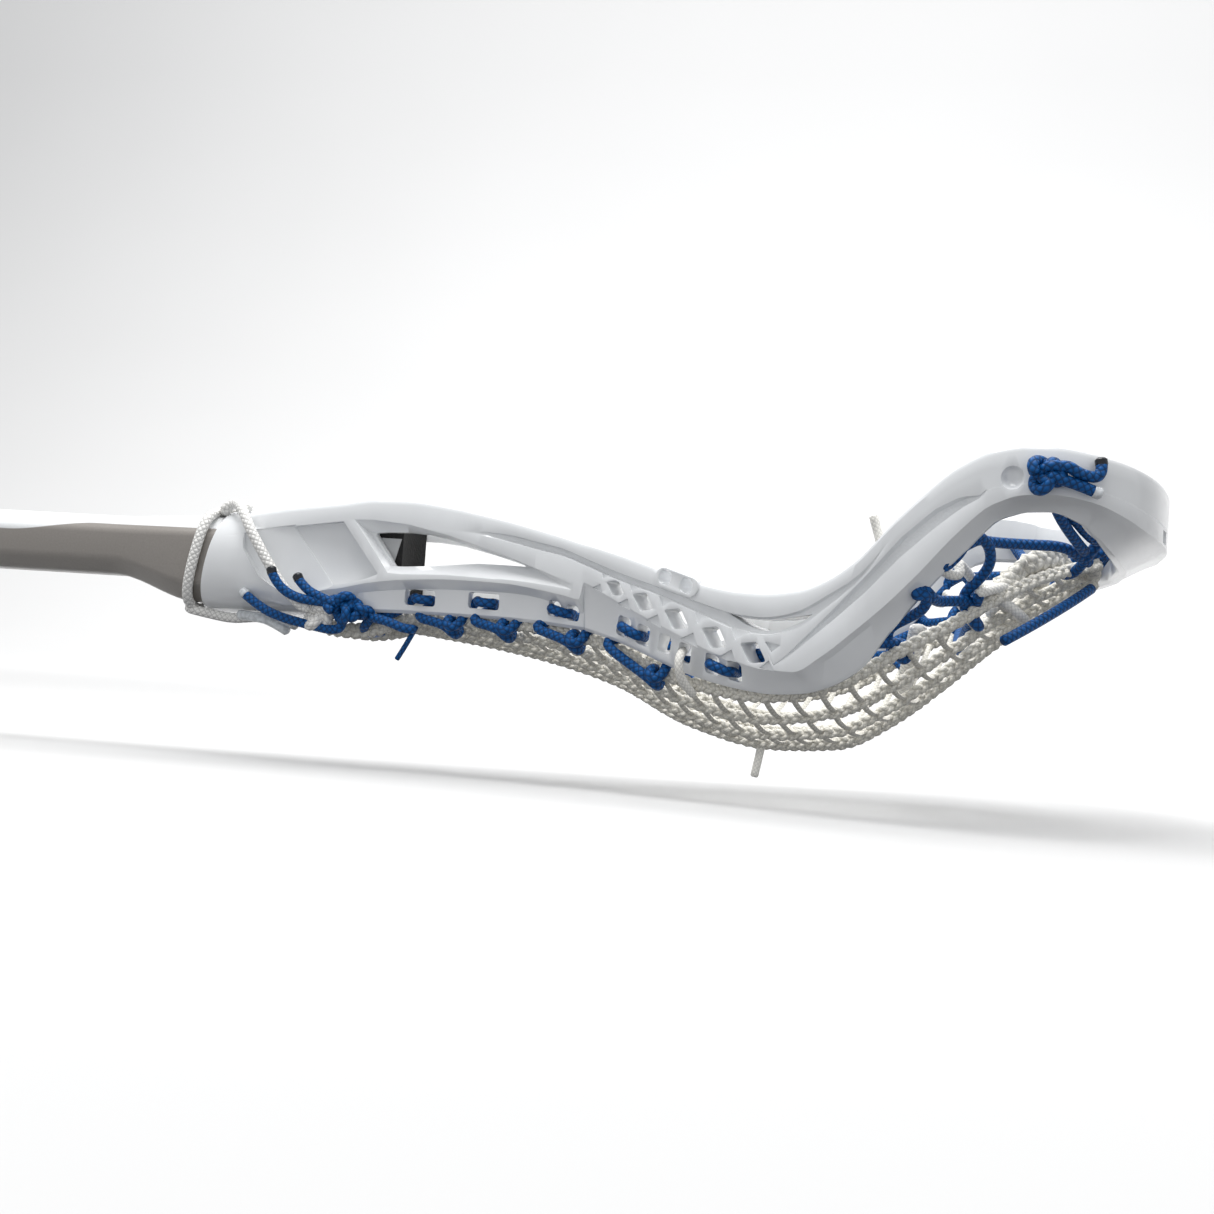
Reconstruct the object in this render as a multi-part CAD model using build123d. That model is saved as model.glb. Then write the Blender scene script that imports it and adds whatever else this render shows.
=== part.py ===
from build123d import *
from math import cos, pi, sin
import os

# A field lacrosse stick: a moulded nylon head with a laced mesh pocket on a composite shaft.
# Row frame, millimetres: origin at the centre of the butt cap's end face, +X along the grip to
# the scoop, +Z towards the open face that takes the ball, the near sidewall on the -Y side.

# Shaft
SHAFT_START = 4.0
SHAFT_END = 817.0
GRIP_HALF_HEIGHT = 8.75
GRIP_HALF_WIDTH = 10.5
GRIP_BEVEL = 4.6
SOCKET_HALF = 12.7
SOCKET_BEVEL = 5.6
SOCKET_Z = -2.9
TAPER_START = 746.0
TAPER_END = 773.0
SHAFT_WALL = 1.8

# Butt cap
CAP_LENGTH = 32.0
CAP_WALL = 1.8
CAP_GAP = 0.06
CAP_LIP = 2.6

# Head: distances along the head run from the collar's rim
HEAD_X = 779.0
COLLAR_LENGTH = 46.0
COLLAR_HALF_WIDTH = 16.3
COLLAR_HALF_HEIGHT = 15.4
SOCKET_DEPTH = 38.2
SOCKET_GAP = 0.08
RIM_TILT = 12.0
RAIL_ROUND = 1.3
REAR_BLOCK = (27.0, 28.0, 8.0)
INNER_FOOT = 2.2
# Half width of a cut that passes through both sidewalls
CUT_REACH = 120.0

# Screw that holds the head on the shaft
SCREW_X = HEAD_X + 24.0
SCREW_TOP = SOCKET_Z - SOCKET_HALF
SCREW_RADIUS = 2.2
SCREW_LENGTH = 10.5
SCREW_GAP = 0.06
SCREW_HEAD_RADIUS = 4.0
SCREW_HEAD_HEIGHT = 2.0
SCREW_SINK = SOCKET_Z - COLLAR_HALF_HEIGHT + SCREW_HEAD_HEIGHT + 0.4
SCREW_HOLE_DEPTH = 16.0
RECESS_LENGTH = 4.4
RECESS_WIDTH = 0.9
RECESS_DEPTH = 2.4

# One row for each station of the near sidewall, from the throat to the scoop's tip: distance
# from the collar's rim, half width outside, height of the top, of the outer crease and of the
# lower inner edge, and the wall's thickness.
STATIONS = [
    (30.0, 15.6, 12.2, -11.5, -15.5, 5.0),
    (50.0, 17.8, 16.4, -9.8, -15.4, 5.6),
    (75.0, 23.0, 14.5, -5.0, -15.0, 6.0),
    (100.0, 28.8, 9.6, -4.7, -15.2, 6.4),
    (120.0, 35.5, 4.2, -6.4, -18.0, 6.8),
    (140.0, 44.0, -1.6, -13.8, -26.2, 7.2),
    (158.0, 52.2, -5.4, -21.0, -30.0, 7.6),
    (172.0, 58.5, -5.1, -24.4, -30.3, 8.0),
    (184.0, 63.5, 0.8, -20.6, -25.5, 8.2),
    (195.0, 68.0, 12.2, -8.8, -12.6, 8.4),
    (206.0, 72.6, 22.8, 4.4, 1.0, 8.4),
    (218.0, 77.4, 29.3, 14.9, 11.4, 8.4),
    (229.0, 80.4, 30.2, 18.4, 15.0, 8.4),
    (240.5, 79.6, 29.0, 16.8, 13.2, 8.4),
    (251.0, 71.5, 27.2, 13.2, 10.0, 8.6),
    (259.0, 55.5, 26.0, 11.8, 8.6, 9.0),
    (264.3, 30.0, 25.4, 11.2, 8.2, 9.4),
    (266.0, 0.0, 25.2, 11.2, 8.2, 9.6),
]

# Openings through the sidewalls, as outlines along the head and up
THROAT_WINDOW = [(60, -2.3), (70, -1.4), (81, -0.8), (97, -0.8), (89, 1.8), (77, 4.8), (64, 7.4),
                 (51.6, 8.6)]
LENS_WINDOW = [(153, -10.6), (159, -11.5), (167, -11.8), (174, -11.0), (180.5, -9.3), (176, -13.6),
               (171, -15.4), (163, -15.5), (158, -13.8)]
# Each lacing slot: centre along the head and up, its length, its height and its slope
SLOTS = [
    (66.0, -11.0, 7.6, 3.4, 2.0),
    (85.0, -10.8, 7.6, 3.4, -1.0),
    (108.0, -12.4, 7.8, 3.6, -7.0),
    (130.5, -18.2, 8.2, 4.4, -22.0),
    (138.4, -20.4, 3.4, 4.0, -20.0),
    (144.6, -22.6, 3.6, 4.6, -18.0),
    (154.6, -25.4, 9.0, 4.8, -14.0),
]
DIAMONDS = [(123.5, -5.6, 4.4), (131.8, -8.9, 4.9), (141.7, -13.0, 5.4), (152.3, -17.3, 5.6),
            (162.9, -20.9, 5.2)]
DIAMOND_TURN = -38.0
UPPER_HOLES = [(138.0, -2.9), (144.4, -4.7)]
UPPER_HOLE_RADIUS = 1.55
DIMPLE = (222.5, 23.4, 2.9)
KNOT_HOLE = (231.0, 23.6, 1.9)

# Scoop slots for the top string: distances across from the centre line
SCOOP_SLOTS = [-47.0, -29.0, -11.0, 11.0, 29.0, 47.0]
SCOOP_SLOT_Z = 13.8

# Ball stop
PAD_START = 47.0
PAD_END = 55.0
PAD_HALF_WIDTH = 11.8
PAD_LOW = -11.0
PAD_HIGH = 12.6
TONGUE = (7.4, 5.0, 3.6)

# Soft goods
CORD = 2.6
LACE = 2.9
THICK_CORD = 4.4
NYLON = 2.0
MESH_THICKNESS = 2.6
# One row for each station of the pocket: distance from the collar's rim, half width at its
# laced edge, height of the edge and of the bottom
POCKET = [
    (50.0, 10.0, -18.0, -20.0),
    (75.0, 16.0, -17.8, -22.2),
    (98.0, 21.5, -18.2, -25.8),
    (120.0, 29.0, -21.8, -31.6),
    (143.0, 38.5, -30.2, -42.0),
    (164.0, 46.5, -33.6, -46.4),
    (184.0, 52.5, -29.8, -45.6),
    (202.0, 54.0, -19.2, -38.8),
    (219.0, 50.0, -8.8, -22.4),
    (235.0, 41.0, -1.0, -8.6),
    (247.0, 32.0, 4.0, 0.4),
]
# The side string leaves the last slot and climbs inside the wall: distance along and height
CLIMB = [(163.0, -22.6), (178.0, -20.5), (192.0, -9.5), (205.0, 2.0), (217.0, 11.5)]


def octagon(half_width, half_height, bevel):
    """An octagonal tube section in the YZ plane, with equal bevels."""
    w, h = half_width, half_height
    points = [
        (-w, -h + bevel), (-w + bevel, -h), (w - bevel, -h), (w, -h + bevel),
        (w, h - bevel), (w - bevel, h), (-w + bevel, h), (-w, h - bevel),
    ]
    return Polyline(*points, close=True)


def section_at(x, z, wire):
    """The 2D wire stood up across the stick at x, its centre at height z."""
    plane = Plane(origin=(x, 0, z), x_dir=(0, 1, 0), z_dir=(1, 0, 0))
    return plane * make_face(wire)


def shaft_core(shrink):
    """The shaft's outside, or its bore when shrunk by the wall."""
    grip = octagon(GRIP_HALF_WIDTH - shrink, GRIP_HALF_HEIGHT - shrink, GRIP_BEVEL - 0.42 * shrink)
    socket = octagon(SOCKET_HALF - shrink, SOCKET_HALF - shrink, SOCKET_BEVEL - 0.42 * shrink)
    straight = extrude(section_at(SHAFT_START, 0, grip), TAPER_START - SHAFT_START, dir=(1, 0, 0))
    taper = loft([section_at(TAPER_START, 0, grip), section_at(TAPER_END, SOCKET_Z, socket)])
    end = extrude(section_at(TAPER_END, SOCKET_Z, socket), SHAFT_END - TAPER_END, dir=(1, 0, 0))
    return straight + taper + end


def make_shaft():
    """Composite tube: slim octagonal grip, flared to a one-inch octagon inside the head."""
    return shaft_core(0) - shaft_core(SHAFT_WALL) - screw_hole(SCREW_RADIUS + SCREW_GAP)


def make_butt_cap():
    """Rubber cap that pushes over the butt of the shaft."""
    outer = octagon(GRIP_HALF_WIDTH + CAP_WALL, GRIP_HALF_HEIGHT + CAP_WALL, GRIP_BEVEL + 0.5 * CAP_WALL)
    lip = octagon(GRIP_HALF_WIDTH + CAP_LIP, GRIP_HALF_HEIGHT + CAP_LIP, GRIP_BEVEL + 0.5 * CAP_LIP)
    body = extrude(section_at(0, 0, outer), CAP_LENGTH, dir=(1, 0, 0))
    body += extrude(section_at(0, 0, lip), 5.0, dir=(1, 0, 0))
    body = chamfer(body.faces().sort_by(Axis.X)[0].edges(), 1.0)
    bore = octagon(GRIP_HALF_WIDTH + CAP_GAP, GRIP_HALF_HEIGHT + CAP_GAP, GRIP_BEVEL)
    return body - extrude(section_at(SHAFT_START, 0, bore), CAP_LENGTH, dir=(1, 0, 0))


def screw_hole(radius):
    """The screw's hole, up through the collar's underside and the lower wall of the shaft."""
    return Pos(SCREW_X, 0, SCREW_TOP) * Cylinder(radius, SCREW_HOLE_DEPTH)


def make_screw():
    """Pan-head screw with a cross recess, which holds the head on the shaft."""
    shank = Pos(SCREW_X, 0, SCREW_SINK - 0.5) * Cylinder(
        SCREW_RADIUS, SCREW_LENGTH, align=(Align.CENTER, Align.CENTER, Align.MIN)
    )
    head = Pos(SCREW_X, 0, SCREW_SINK - SCREW_HEAD_HEIGHT) * Cylinder(
        SCREW_HEAD_RADIUS, SCREW_HEAD_HEIGHT, align=(Align.CENTER, Align.CENTER, Align.MIN)
    )
    head = fillet(head.edges().sort_by(Axis.Z)[0], 0.8)
    cross = Box(RECESS_LENGTH, RECESS_WIDTH, RECESS_DEPTH) + Box(RECESS_WIDTH, RECESS_LENGTH, RECESS_DEPTH)
    return shank + head - Pos(SCREW_X, 0, SCREW_SINK - SCREW_HEAD_HEIGHT) * cross


def wall_section(station, tangent):
    """One rounded section of the sidewall, square to its run."""
    along, half_width, top, crease, bottom, thickness = station
    normal = Vector(tangent.Y, -tangent.X, 0).normalized()
    plane = Plane(origin=(HEAD_X + along, -half_width, 0), x_dir=normal, z_dir=-tangent)
    corners = [
        (0, crease), (0, top), (-thickness, top), (-thickness, bottom), (-thickness + INNER_FOOT, bottom),
    ]
    outline = make_face(Polyline(*corners, close=True))
    outline = fillet(outline.vertices(), RAIL_ROUND)
    return plane * outline


def sidewall():
    """The U-shaped wall from the near throat round the scoop to the far throat."""
    near = [Vector(HEAD_X + s[0], -s[1], 0) for s in STATIONS]
    far = [Vector(p.X, -p.Y, 0) for p in reversed(near[:-1])]
    line = Spline(*near, *far, tangents=[(1, -0.05, 0), (-1, -0.05, 0)])
    rows = STATIONS + list(reversed(STATIONS[:-1]))
    sections = []
    for number, station in enumerate(rows):
        point = (near + far)[number]
        tangent = line.tangent_at(line.param_at_point(point))
        if number >= len(STATIONS):
            station = (station[0], -station[1]) + station[2:]
        sections.append(wall_section(station, tangent))
    return loft(sections)


def prism(points, rounding):
    """A bar across the whole head whose side view is the outline."""
    outline = make_face(Polyline(*points, close=True))
    outline = fillet(outline.vertices(), rounding)
    plane = Plane(origin=(HEAD_X, 0, 0), x_dir=(1, 0, 0), z_dir=(0, -1, 0))
    return extrude(plane * outline, CUT_REACH, both=True)


def slot_prism(along, height, length, tall, slope):
    """A rounded slot across the whole head."""
    plane = Plane(origin=(HEAD_X + along, 0, height), x_dir=(1, 0, 0), z_dir=(0, -1, 0))
    outline = Rot(0, 0, slope) * RectangleRounded(length, tall, 1.0)
    return extrude(plane * outline, CUT_REACH, both=True)


def tongue():
    """The tongue on the throat block that the ball stop hooks over."""
    length, height, middle = TONGUE
    return Pos(HEAD_X + PAD_START - 1, 0, middle) * Box(
        length, 2 * PAD_HALF_WIDTH - 1.6, height, align=(Align.MIN, Align.CENTER, Align.CENTER)
    )


def throat_block():
    """The collar that takes the shaft, and the block between the walls behind the ball stop."""
    plane = Plane(origin=(HEAD_X - 6, 0, SOCKET_Z), x_dir=(0, 1, 0), z_dir=(1, 0, 0))
    collar = extrude(plane * Ellipse(COLLAR_HALF_WIDTH, COLLAR_HALF_HEIGHT), COLLAR_LENGTH + 6)
    rear = extrude(plane * RectangleRounded(*REAR_BLOCK), PAD_START + 6)
    rim = Pos(HEAD_X, 0, SOCKET_Z) * Rot(0, RIM_TILT, 0) * Box(
        30, 60, 60, align=(Align.MAX, Align.CENTER, Align.CENTER)
    )
    gap = Pos(HEAD_X + PAD_START, 0, 0) * Box(
        40, 2 * PAD_HALF_WIDTH, 80, align=(Align.MIN, Align.CENTER, Align.CENTER)
    )
    return collar + rear - rim - gap + tongue()


def make_head():
    """Moulded nylon head: collar, sidewalls with lightening windows, and scoop."""
    head = sidewall() + throat_block()
    socket = octagon(SOCKET_HALF + SOCKET_GAP, SOCKET_HALF + SOCKET_GAP, SOCKET_BEVEL)
    head -= extrude(section_at(HEAD_X - 10, SOCKET_Z, socket), SOCKET_DEPTH + 10, dir=(1, 0, 0))
    head -= prism(THROAT_WINDOW, 1.0) - tongue()
    head -= prism(LENS_WINDOW, 0.5)
    for slot in SLOTS:
        head -= slot_prism(*slot)
    for along, height, size in DIAMONDS:
        head -= slot_prism(along, height, size, size, DIAMOND_TURN)
    for along, height in UPPER_HOLES:
        head -= Pos(HEAD_X + along, 0, height) * Rot(90, 0, 0) * Cylinder(UPPER_HOLE_RADIUS, 200)
    along, height, radius = KNOT_HOLE
    head -= Pos(HEAD_X + along, 0, height) * Rot(90, 0, 0) * Cylinder(radius, 200)
    along, height, radius = DIMPLE
    for side in (-1, 1):
        head -= Pos(HEAD_X + along, side * (wall_at(along)[1] + 1.4), height) * Sphere(radius)
    for across in SCOOP_SLOTS:
        head -= Pos(HEAD_X + 258, across, SCOOP_SLOT_Z) * Box(40, 7.0, 3.4)
    head -= Pos(SCREW_X, 0, SCREW_SINK) * Cylinder(SCREW_RADIUS + SCREW_GAP, 12)
    head -= Pos(SCREW_X, 0, SCREW_SINK) * Cylinder(
        SCREW_HEAD_RADIUS + 0.06, 12, align=(Align.CENTER, Align.CENTER, Align.MAX)
    )
    return head


def make_ball_stop():
    """Foam pad on the throat block, with a concave front and a window for the block's tongue."""
    depth = PAD_END - PAD_START
    width = 2 * PAD_HALF_WIDTH - 0.2
    height = PAD_HIGH - PAD_LOW
    pad = Pos(HEAD_X + PAD_START + 0.02, 0, (PAD_LOW + PAD_HIGH) / 2) * Box(
        depth + 3.0, width, height, align=(Align.MIN, Align.CENTER, Align.CENTER)
    )
    pad -= Pos(HEAD_X + PAD_END + 26.0, 0, 0) * Cylinder(26.4, 80)
    tongue_length, tongue_height, tongue_z = TONGUE
    room = Box(tongue_length + 0.1, 60, tongue_height + 0.1, align=(Align.MIN, Align.CENTER, Align.CENTER))
    return pad - Pos(HEAD_X + PAD_START - 1, 0, tongue_z) * room


def between(rows, along):
    """The row of a table of stations at a distance along the head, taken in straight lines."""
    for low, high in zip(rows, rows[1:]):
        if along <= high[0]:
            share = (along - low[0]) / (high[0] - low[0])
            return [a + (b - a) * share for a, b in zip(low, high)]
    return list(rows[-1])


def wall_at(along):
    """The sidewall's station values at a distance along the head."""
    return between(STATIONS, along)


def cord(points, diameter):
    """A round cord through the points, its corners turned in arcs as wide as the runs allow."""
    route = [Vector(HEAD_X + x, y, z) for x, y, z in points]
    radii = []
    for before, here, after in zip(route, route[1:], route[2:]):
        arriving = here - before
        leaving = after - here
        turn = arriving.get_angle(leaving) * pi / 180
        shorter = min(arriving.length, leaving.length)
        radii.append(0.45 * shorter * cos(turn / 2) / sin(turn / 2))
    path = FilletPolyline(*route, radius=radii)
    section = Plane(origin=path @ 0, z_dir=path % 0) * Circle(diameter / 2)
    return sweep(section, path)


def mirrored(points):
    """The same route on the far side of the head."""
    return [(x, -y, z) for x, y, z in points]


def side_route():
    """Near side string: out and back in through each slot, and round the mesh's edge between."""
    route = [(57.0, -9.5, -16.0)]
    for along, height, length, _, _ in SLOTS:
        row = wall_at(along)
        outside = -(row[1] + 0.5)
        inside = -(row[1] - row[5] - 2.4)
        reach = 0.28 * length
        edge = between(POCKET, along + 6.5)
        route += [
            (along - reach, inside, height + 0.2),
            (along - reach, outside, height + 0.1),
            (along + reach, outside, height - 0.1),
            (along + reach, inside, height - 0.2),
        ]
        if length > 6.0 and along < 150.0:
            route.append((along + 6.5, -(edge[1] + 1.6), edge[2] - 0.6))
    for along, height in CLIMB:
        row = wall_at(along)
        edge = between(POCKET, along + 5.0)
        route.append((along, -(row[1] - row[5] - 2.2), height))
        route.append((along + 4.0, -(edge[1] + 1.8), edge[2] + 0.8))
    route.append((228.0, -66.0, 15.5))
    return route


def top_route():
    """Top string: through the near hole, then through the slots and round the scoop's lip."""
    along, height, _ = KNOT_HOLE
    wall = wall_at(along)
    route = [(along, -(wall[1] + 3.0), height), (along, -(wall[1] - wall[5] - 3.4), height)]
    for across in SCOOP_SLOTS:
        outside = 266.0 - (across / 80.0) ** 2 * 15.5 + 1.5
        inside = outside - 14.6
        edge = 247.5 - (across / 34.0) ** 2 * 6.0
        route += [
            (inside, across - 1.5, SCOOP_SLOT_Z),
            (outside, across - 1.5, SCOOP_SLOT_Z),
            (outside, across + 1.2, 3.6),
            (edge, across * 0.78 + 2.0, 2.0),
        ]
    route += [(along, wall[1] - wall[5] - 3.4, height), (along, wall[1] + 3.0, height)]
    return route


def across_route(along, rise):
    """A cord from wall to wall over the pocket's inner face."""
    row = between(POCKET, along)
    half = row[1] + 3.0
    points = []
    for share in (-1.0, -0.72, -0.38, 0.0, 0.38, 0.72, 1.0):
        height = row[3] + (row[2] - row[3]) * share * share
        points.append((along - 3.0 * (1 - share * share), share * half, height + rise))
    return points


def pocket_section(row):
    """One curved band of the pocket, across the head."""
    along, half, edge, bottom = row
    t = MESH_THICKNESS
    plane = Plane(origin=(HEAD_X + along, 0, 0), x_dir=(0, 1, 0), z_dir=(1, 0, 0))
    outer = ThreePointArc((-half, edge), (0, bottom), (half, edge))
    inner_half = half - 0.6 * t
    inner_edge = edge + 0.8 * t
    inner = ThreePointArc((inner_half, inner_edge), (0, bottom + t), (-inner_half, inner_edge))
    sides = [Line(outer @ 1, inner @ 0), Line(inner @ 1, outer @ 0)]
    return plane * make_face(Wire([*outer.edges(), sides[0].edge(), *inner.edges(), sides[1].edge()]))


def make_pocket():
    """Soft mesh pocket, plain: the bag the net hangs in."""
    return loft([pocket_section(row) for row in POCKET])


def lace_route():
    """White lace: a tail under the collar, one and a half turns behind its rim, and a diagonal run."""
    flat = SOCKET_HALF + LACE / 2 + 0.1
    corner = 8.0
    ring = [
        (-corner, -flat), (corner, -flat), (flat, -corner), (flat, corner), (corner, flat), (-corner, flat),
        (-flat, corner), (-flat, -corner),
    ]
    route = [(16.5, -7.5, -23.0), (6.0, -6.5, -21.4)]
    tilt = sin(RIM_TILT * pi / 180)
    order = [0, 1, 2, 3, 4, 5, 6, 7, 0, 1, 2, 3, 4, 5]
    for step, index in enumerate(order):
        y, z = ring[index]
        route.append((-2.4 - 3.3 * (1 - step / (len(order) - 1)) + tilt * z, y, z + SOCKET_Z))
    route += [(6.5, -11.5, 13.2), (12.0, -17.4, 2.0), (21.5, -17.9, -12.5), (29.5, -14.0, -18.5)]
    return route


def bottom_route():
    """Blue string at the throat: tail, knot, and a run under the throat to the far side."""
    near = [(13.5, -19.2, -4.2), (20.0, -18.8, -11.0), (33.0, -16.0, -16.2), (43.0, -11.0, -20.0)]
    return near + [(48.5, 0.0, -22.6)] + list(reversed(mirrored(near)))


CORDS = {
    "sidewall_string_near": (side_route(), CORD),
    "sidewall_string_far": (mirrored(side_route()), CORD),
    "top_string": (top_route(), CORD),
    "shooting_cord_lower": (across_route(203.0, THICK_CORD / 2 + MESH_THICKNESS + 0.3), THICK_CORD),
    "shooting_cord_upper": (across_route(231.0, THICK_CORD / 2 + MESH_THICKNESS + 0.3), THICK_CORD),
    "blue_shooter": (across_route(217.0, CORD / 2 + MESH_THICKNESS + 0.4), CORD),
    "nylon_shooter": (across_route(223.0, NYLON / 2 + MESH_THICKNESS + 0.4), NYLON),
    "throat_lace": (lace_route(), LACE),
    "bottom_string": (bottom_route(), CORD),
    "top_string_tail": ([(246.0, -30.0, 1.5), (236.5, -44.5, -6.0), (223.5, -56.0, -14.2)], CORD),
}

os.makedirs("parts", exist_ok=True)
export_step(make_shaft(), "parts/shaft.step")
export_step(make_butt_cap(), "parts/butt_cap.step")
export_step(make_screw(), "parts/head_screw.step")
export_step(make_head(), "parts/head_frame.step")
export_step(make_ball_stop(), "parts/ball_stop.step")
export_step(make_pocket(), "parts/mesh_pocket.step")
for node, (points, diameter) in CORDS.items():
    export_step(cord(points, diameter), f"parts/{node}.step")
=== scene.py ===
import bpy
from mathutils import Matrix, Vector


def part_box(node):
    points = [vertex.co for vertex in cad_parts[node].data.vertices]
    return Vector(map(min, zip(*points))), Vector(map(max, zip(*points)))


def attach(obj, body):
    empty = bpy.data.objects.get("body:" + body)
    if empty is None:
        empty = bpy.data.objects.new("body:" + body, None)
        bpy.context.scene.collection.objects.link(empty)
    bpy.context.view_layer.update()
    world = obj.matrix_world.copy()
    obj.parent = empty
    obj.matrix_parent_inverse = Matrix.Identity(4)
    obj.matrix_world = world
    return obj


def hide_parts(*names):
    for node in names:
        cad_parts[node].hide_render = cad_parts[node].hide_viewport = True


bl_info = {
    "name": "Lacrosse Stick",
    "version": (1, 0, 0),
    "blender": (4, 5, 0),
    "location": "View3D > Sidebar > Lacrosse Stick",
    "description": "Builds a laced lacrosse stick round its CAD frame",
    "category": "Add Mesh",
}

from math import cos, pi, radians, sin

import bmesh
import bpy
from bpy.props import FloatProperty, FloatVectorProperty, IntProperty, PointerProperty
from mathutils import Matrix, Vector

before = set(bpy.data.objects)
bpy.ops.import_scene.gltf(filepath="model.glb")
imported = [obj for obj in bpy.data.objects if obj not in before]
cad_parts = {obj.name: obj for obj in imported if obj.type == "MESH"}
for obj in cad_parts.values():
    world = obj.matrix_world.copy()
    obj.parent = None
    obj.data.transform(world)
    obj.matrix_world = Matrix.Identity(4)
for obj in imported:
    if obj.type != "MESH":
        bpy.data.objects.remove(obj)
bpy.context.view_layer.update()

MM = 0.001
HEAD_LENGTH = 266.0
# The collar's rim, where distances along the head start
HEAD_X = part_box("head_frame")[1][0] / MM - HEAD_LENGTH
SHAFT_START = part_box("shaft")[0][0] / MM
SHAFT_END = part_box("shaft")[1][0] / MM
SOCKET_Z = -2.9
SOCKET_HALF = 12.7
GRIP_HALF_WIDTH = 10.5
GRIP_HALF_HEIGHT = 8.75
GRIP_BEVEL = 4.6
SOCKET_BEVEL = 5.6
SOCKET_DEPTH = 38.2
SOCKET_CUT_HALF = 12.72
SCREW_ALONG = 24.0
SCREW_BORE_RADIUS = 4.05

# The near sidewall, from the throat to the scoop's tip, in millimetres. Each row: distance from
# the rim, half width outside, thickness, top, lower edge of the upper rail, depth of the channel
# under it, channel's lower edge, outer crease, ledge's inset and height, bottom, and the inset of
# the face above the bottom.
WALL = [
    (10.0, 13.2, 4.0, 10.4, 6.0, 0.0, 5.2, -10.0, 0.4, -11.0, -12.6, 1.0),
    (24.0, 15.0, 4.6, 12.8, 8.0, 0.0, 7.2, -11.4, 0.6, -12.4, -15.2, 1.2),
    (40.0, 16.4, 5.2, 14.8, 10.8, 0.0, 10.0, -9.6, 1.2, -11.4, -15.2, 1.8),
    (50.0, 17.8, 5.6, 16.2, 11.2, 0.0, 10.4, -7.4, 2.2, -9.8, -15.6, 2.6),
    (60.0, 19.7, 5.8, 16.2, 9.9, 0.0, 9.1, -6.2, 3.0, -8.7, -15.4, 3.3),
    (75.0, 23.0, 6.0, 14.5, 8.6, 0.0, 7.8, -5.5, 3.3, -8.1, -15.5, 3.6),
    (84.0, 24.9, 6.1, 12.9, 8.2, 0.2, 7.0, -5.6, 3.3, -8.1, -15.6, 3.6),
    (92.0, 26.7, 6.2, 11.3, 7.5, 1.2, 5.5, -5.9, 3.4, -8.3, -15.8, 3.7),
    (100.0, 28.8, 6.4, 9.4, 5.9, 1.6, 3.7, -6.9, 3.4, -9.2, -16.2, 3.7),
    (108.0, 31.3, 6.5, 7.4, 4.2, 1.7, 2.1, -8.2, 3.3, -11.6, -16.9, 3.6),
    (113.4, 33.1, 6.6, 5.9, 2.2, 1.7, 0.2, -9.3, 3.2, -13.0, -17.4, 3.5),
    (114.8, 33.6, 6.6, 5.6, 1.7, 1.7, -0.3, -4.7, 0.7, -5.7, -17.6, 2.4),
    (125.0, 37.5, 6.9, 2.9, -1.9, 1.6, -4.1, -9.6, 0.8, -10.7, -20.4, 2.5),
    (136.0, 42.3, 7.1, -0.5, -5.2, 1.5, -7.4, -14.6, 0.8, -15.8, -24.6, 2.7),
    (145.0, 46.2, 7.3, -3.3, -8.0, 1.4, -10.8, -18.5, 0.9, -19.7, -27.7, 3.0),
    (152.0, 49.4, 7.5, -4.9, -10.1, 1.4, -13.5, -21.4, 1.0, -22.6, -29.4, 3.4),
    (158.0, 52.2, 7.6, -5.7, -11.5, 1.4, -15.5, -23.2, 1.2, -24.4, -30.4, 3.8),
    (165.0, 55.4, 7.8, -5.9, -12.0, 1.4, -16.4, -24.9, 1.4, -26.0, -31.0, 4.2),
    (173.0, 58.9, 8.0, -4.9, -10.4, 1.4, -14.6, -25.2, 1.8, -26.2, -30.4, 4.8),
    (180.0, 61.8, 8.1, -2.2, -6.4, 1.2, -9.4, -21.0, 2.2, -22.2, -28.2, 5.2),
    (187.0, 64.7, 8.2, 2.9, -1.6, 0.9, -3.2, -15.0, 2.4, -16.0, -23.4, 5.4),
    (191.0, 66.4, 8.2, 7.2, 2.6, 0.3, 1.4, -11.4, 2.4, -12.4, -18.0, 5.4),
    (195.0, 68.0, 8.3, 11.9, 8.4, 0.0, 7.6, -7.6, 2.4, -8.6, -12.2, 5.4),
    (202.0, 70.9, 8.4, 18.9, 15.4, 0.0, 14.6, -0.1, 2.4, -1.0, -3.2, 5.4),
    (210.0, 74.2, 8.4, 25.6, 21.6, 0.0, 20.8, 9.2, 2.4, 8.4, 6.0, 5.4),
    (218.0, 77.4, 8.4, 29.3, 25.0, 0.0, 24.0, 16.4, 2.4, 15.7, 13.7, 5.4),
    (225.0, 79.6, 8.4, 30.2, 25.0, 0.0, 24.0, 18.7, 2.4, 17.9, 15.5, 5.4),
    (232.0, 80.6, 8.4, 30.1, 25.0, 0.0, 24.0, 18.9, 2.4, 18.1, 15.7, 5.4),
    (240.5, 79.4, 8.4, 29.0, 24.4, 0.0, 23.4, 17.6, 2.4, 16.6, 13.2, 5.4),
    (248.0, 74.6, 9.0, 27.8, 23.6, 0.0, 22.6, 15.2, 2.4, 14.0, 10.2, 6.0),
    (255.0, 64.5, 10.6, 26.6, 22.4, 0.0, 21.4, 12.6, 2.4, 11.6, 7.4, 7.2),
    (260.5, 49.0, 11.8, 25.8, 21.6, 0.0, 20.6, 11.6, 2.4, 10.6, 6.0, 8.4),
    (264.3, 28.0, 12.2, 25.4, 21.2, 0.0, 20.2, 11.2, 2.4, 10.2, 5.6, 8.8),
    (266.0, 0.0, 12.4, 25.2, 21.0, 0.0, 20.0, 11.2, 2.4, 10.2, 5.6, 9.0),
]
STEPS_PER_ROW = 5
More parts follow.
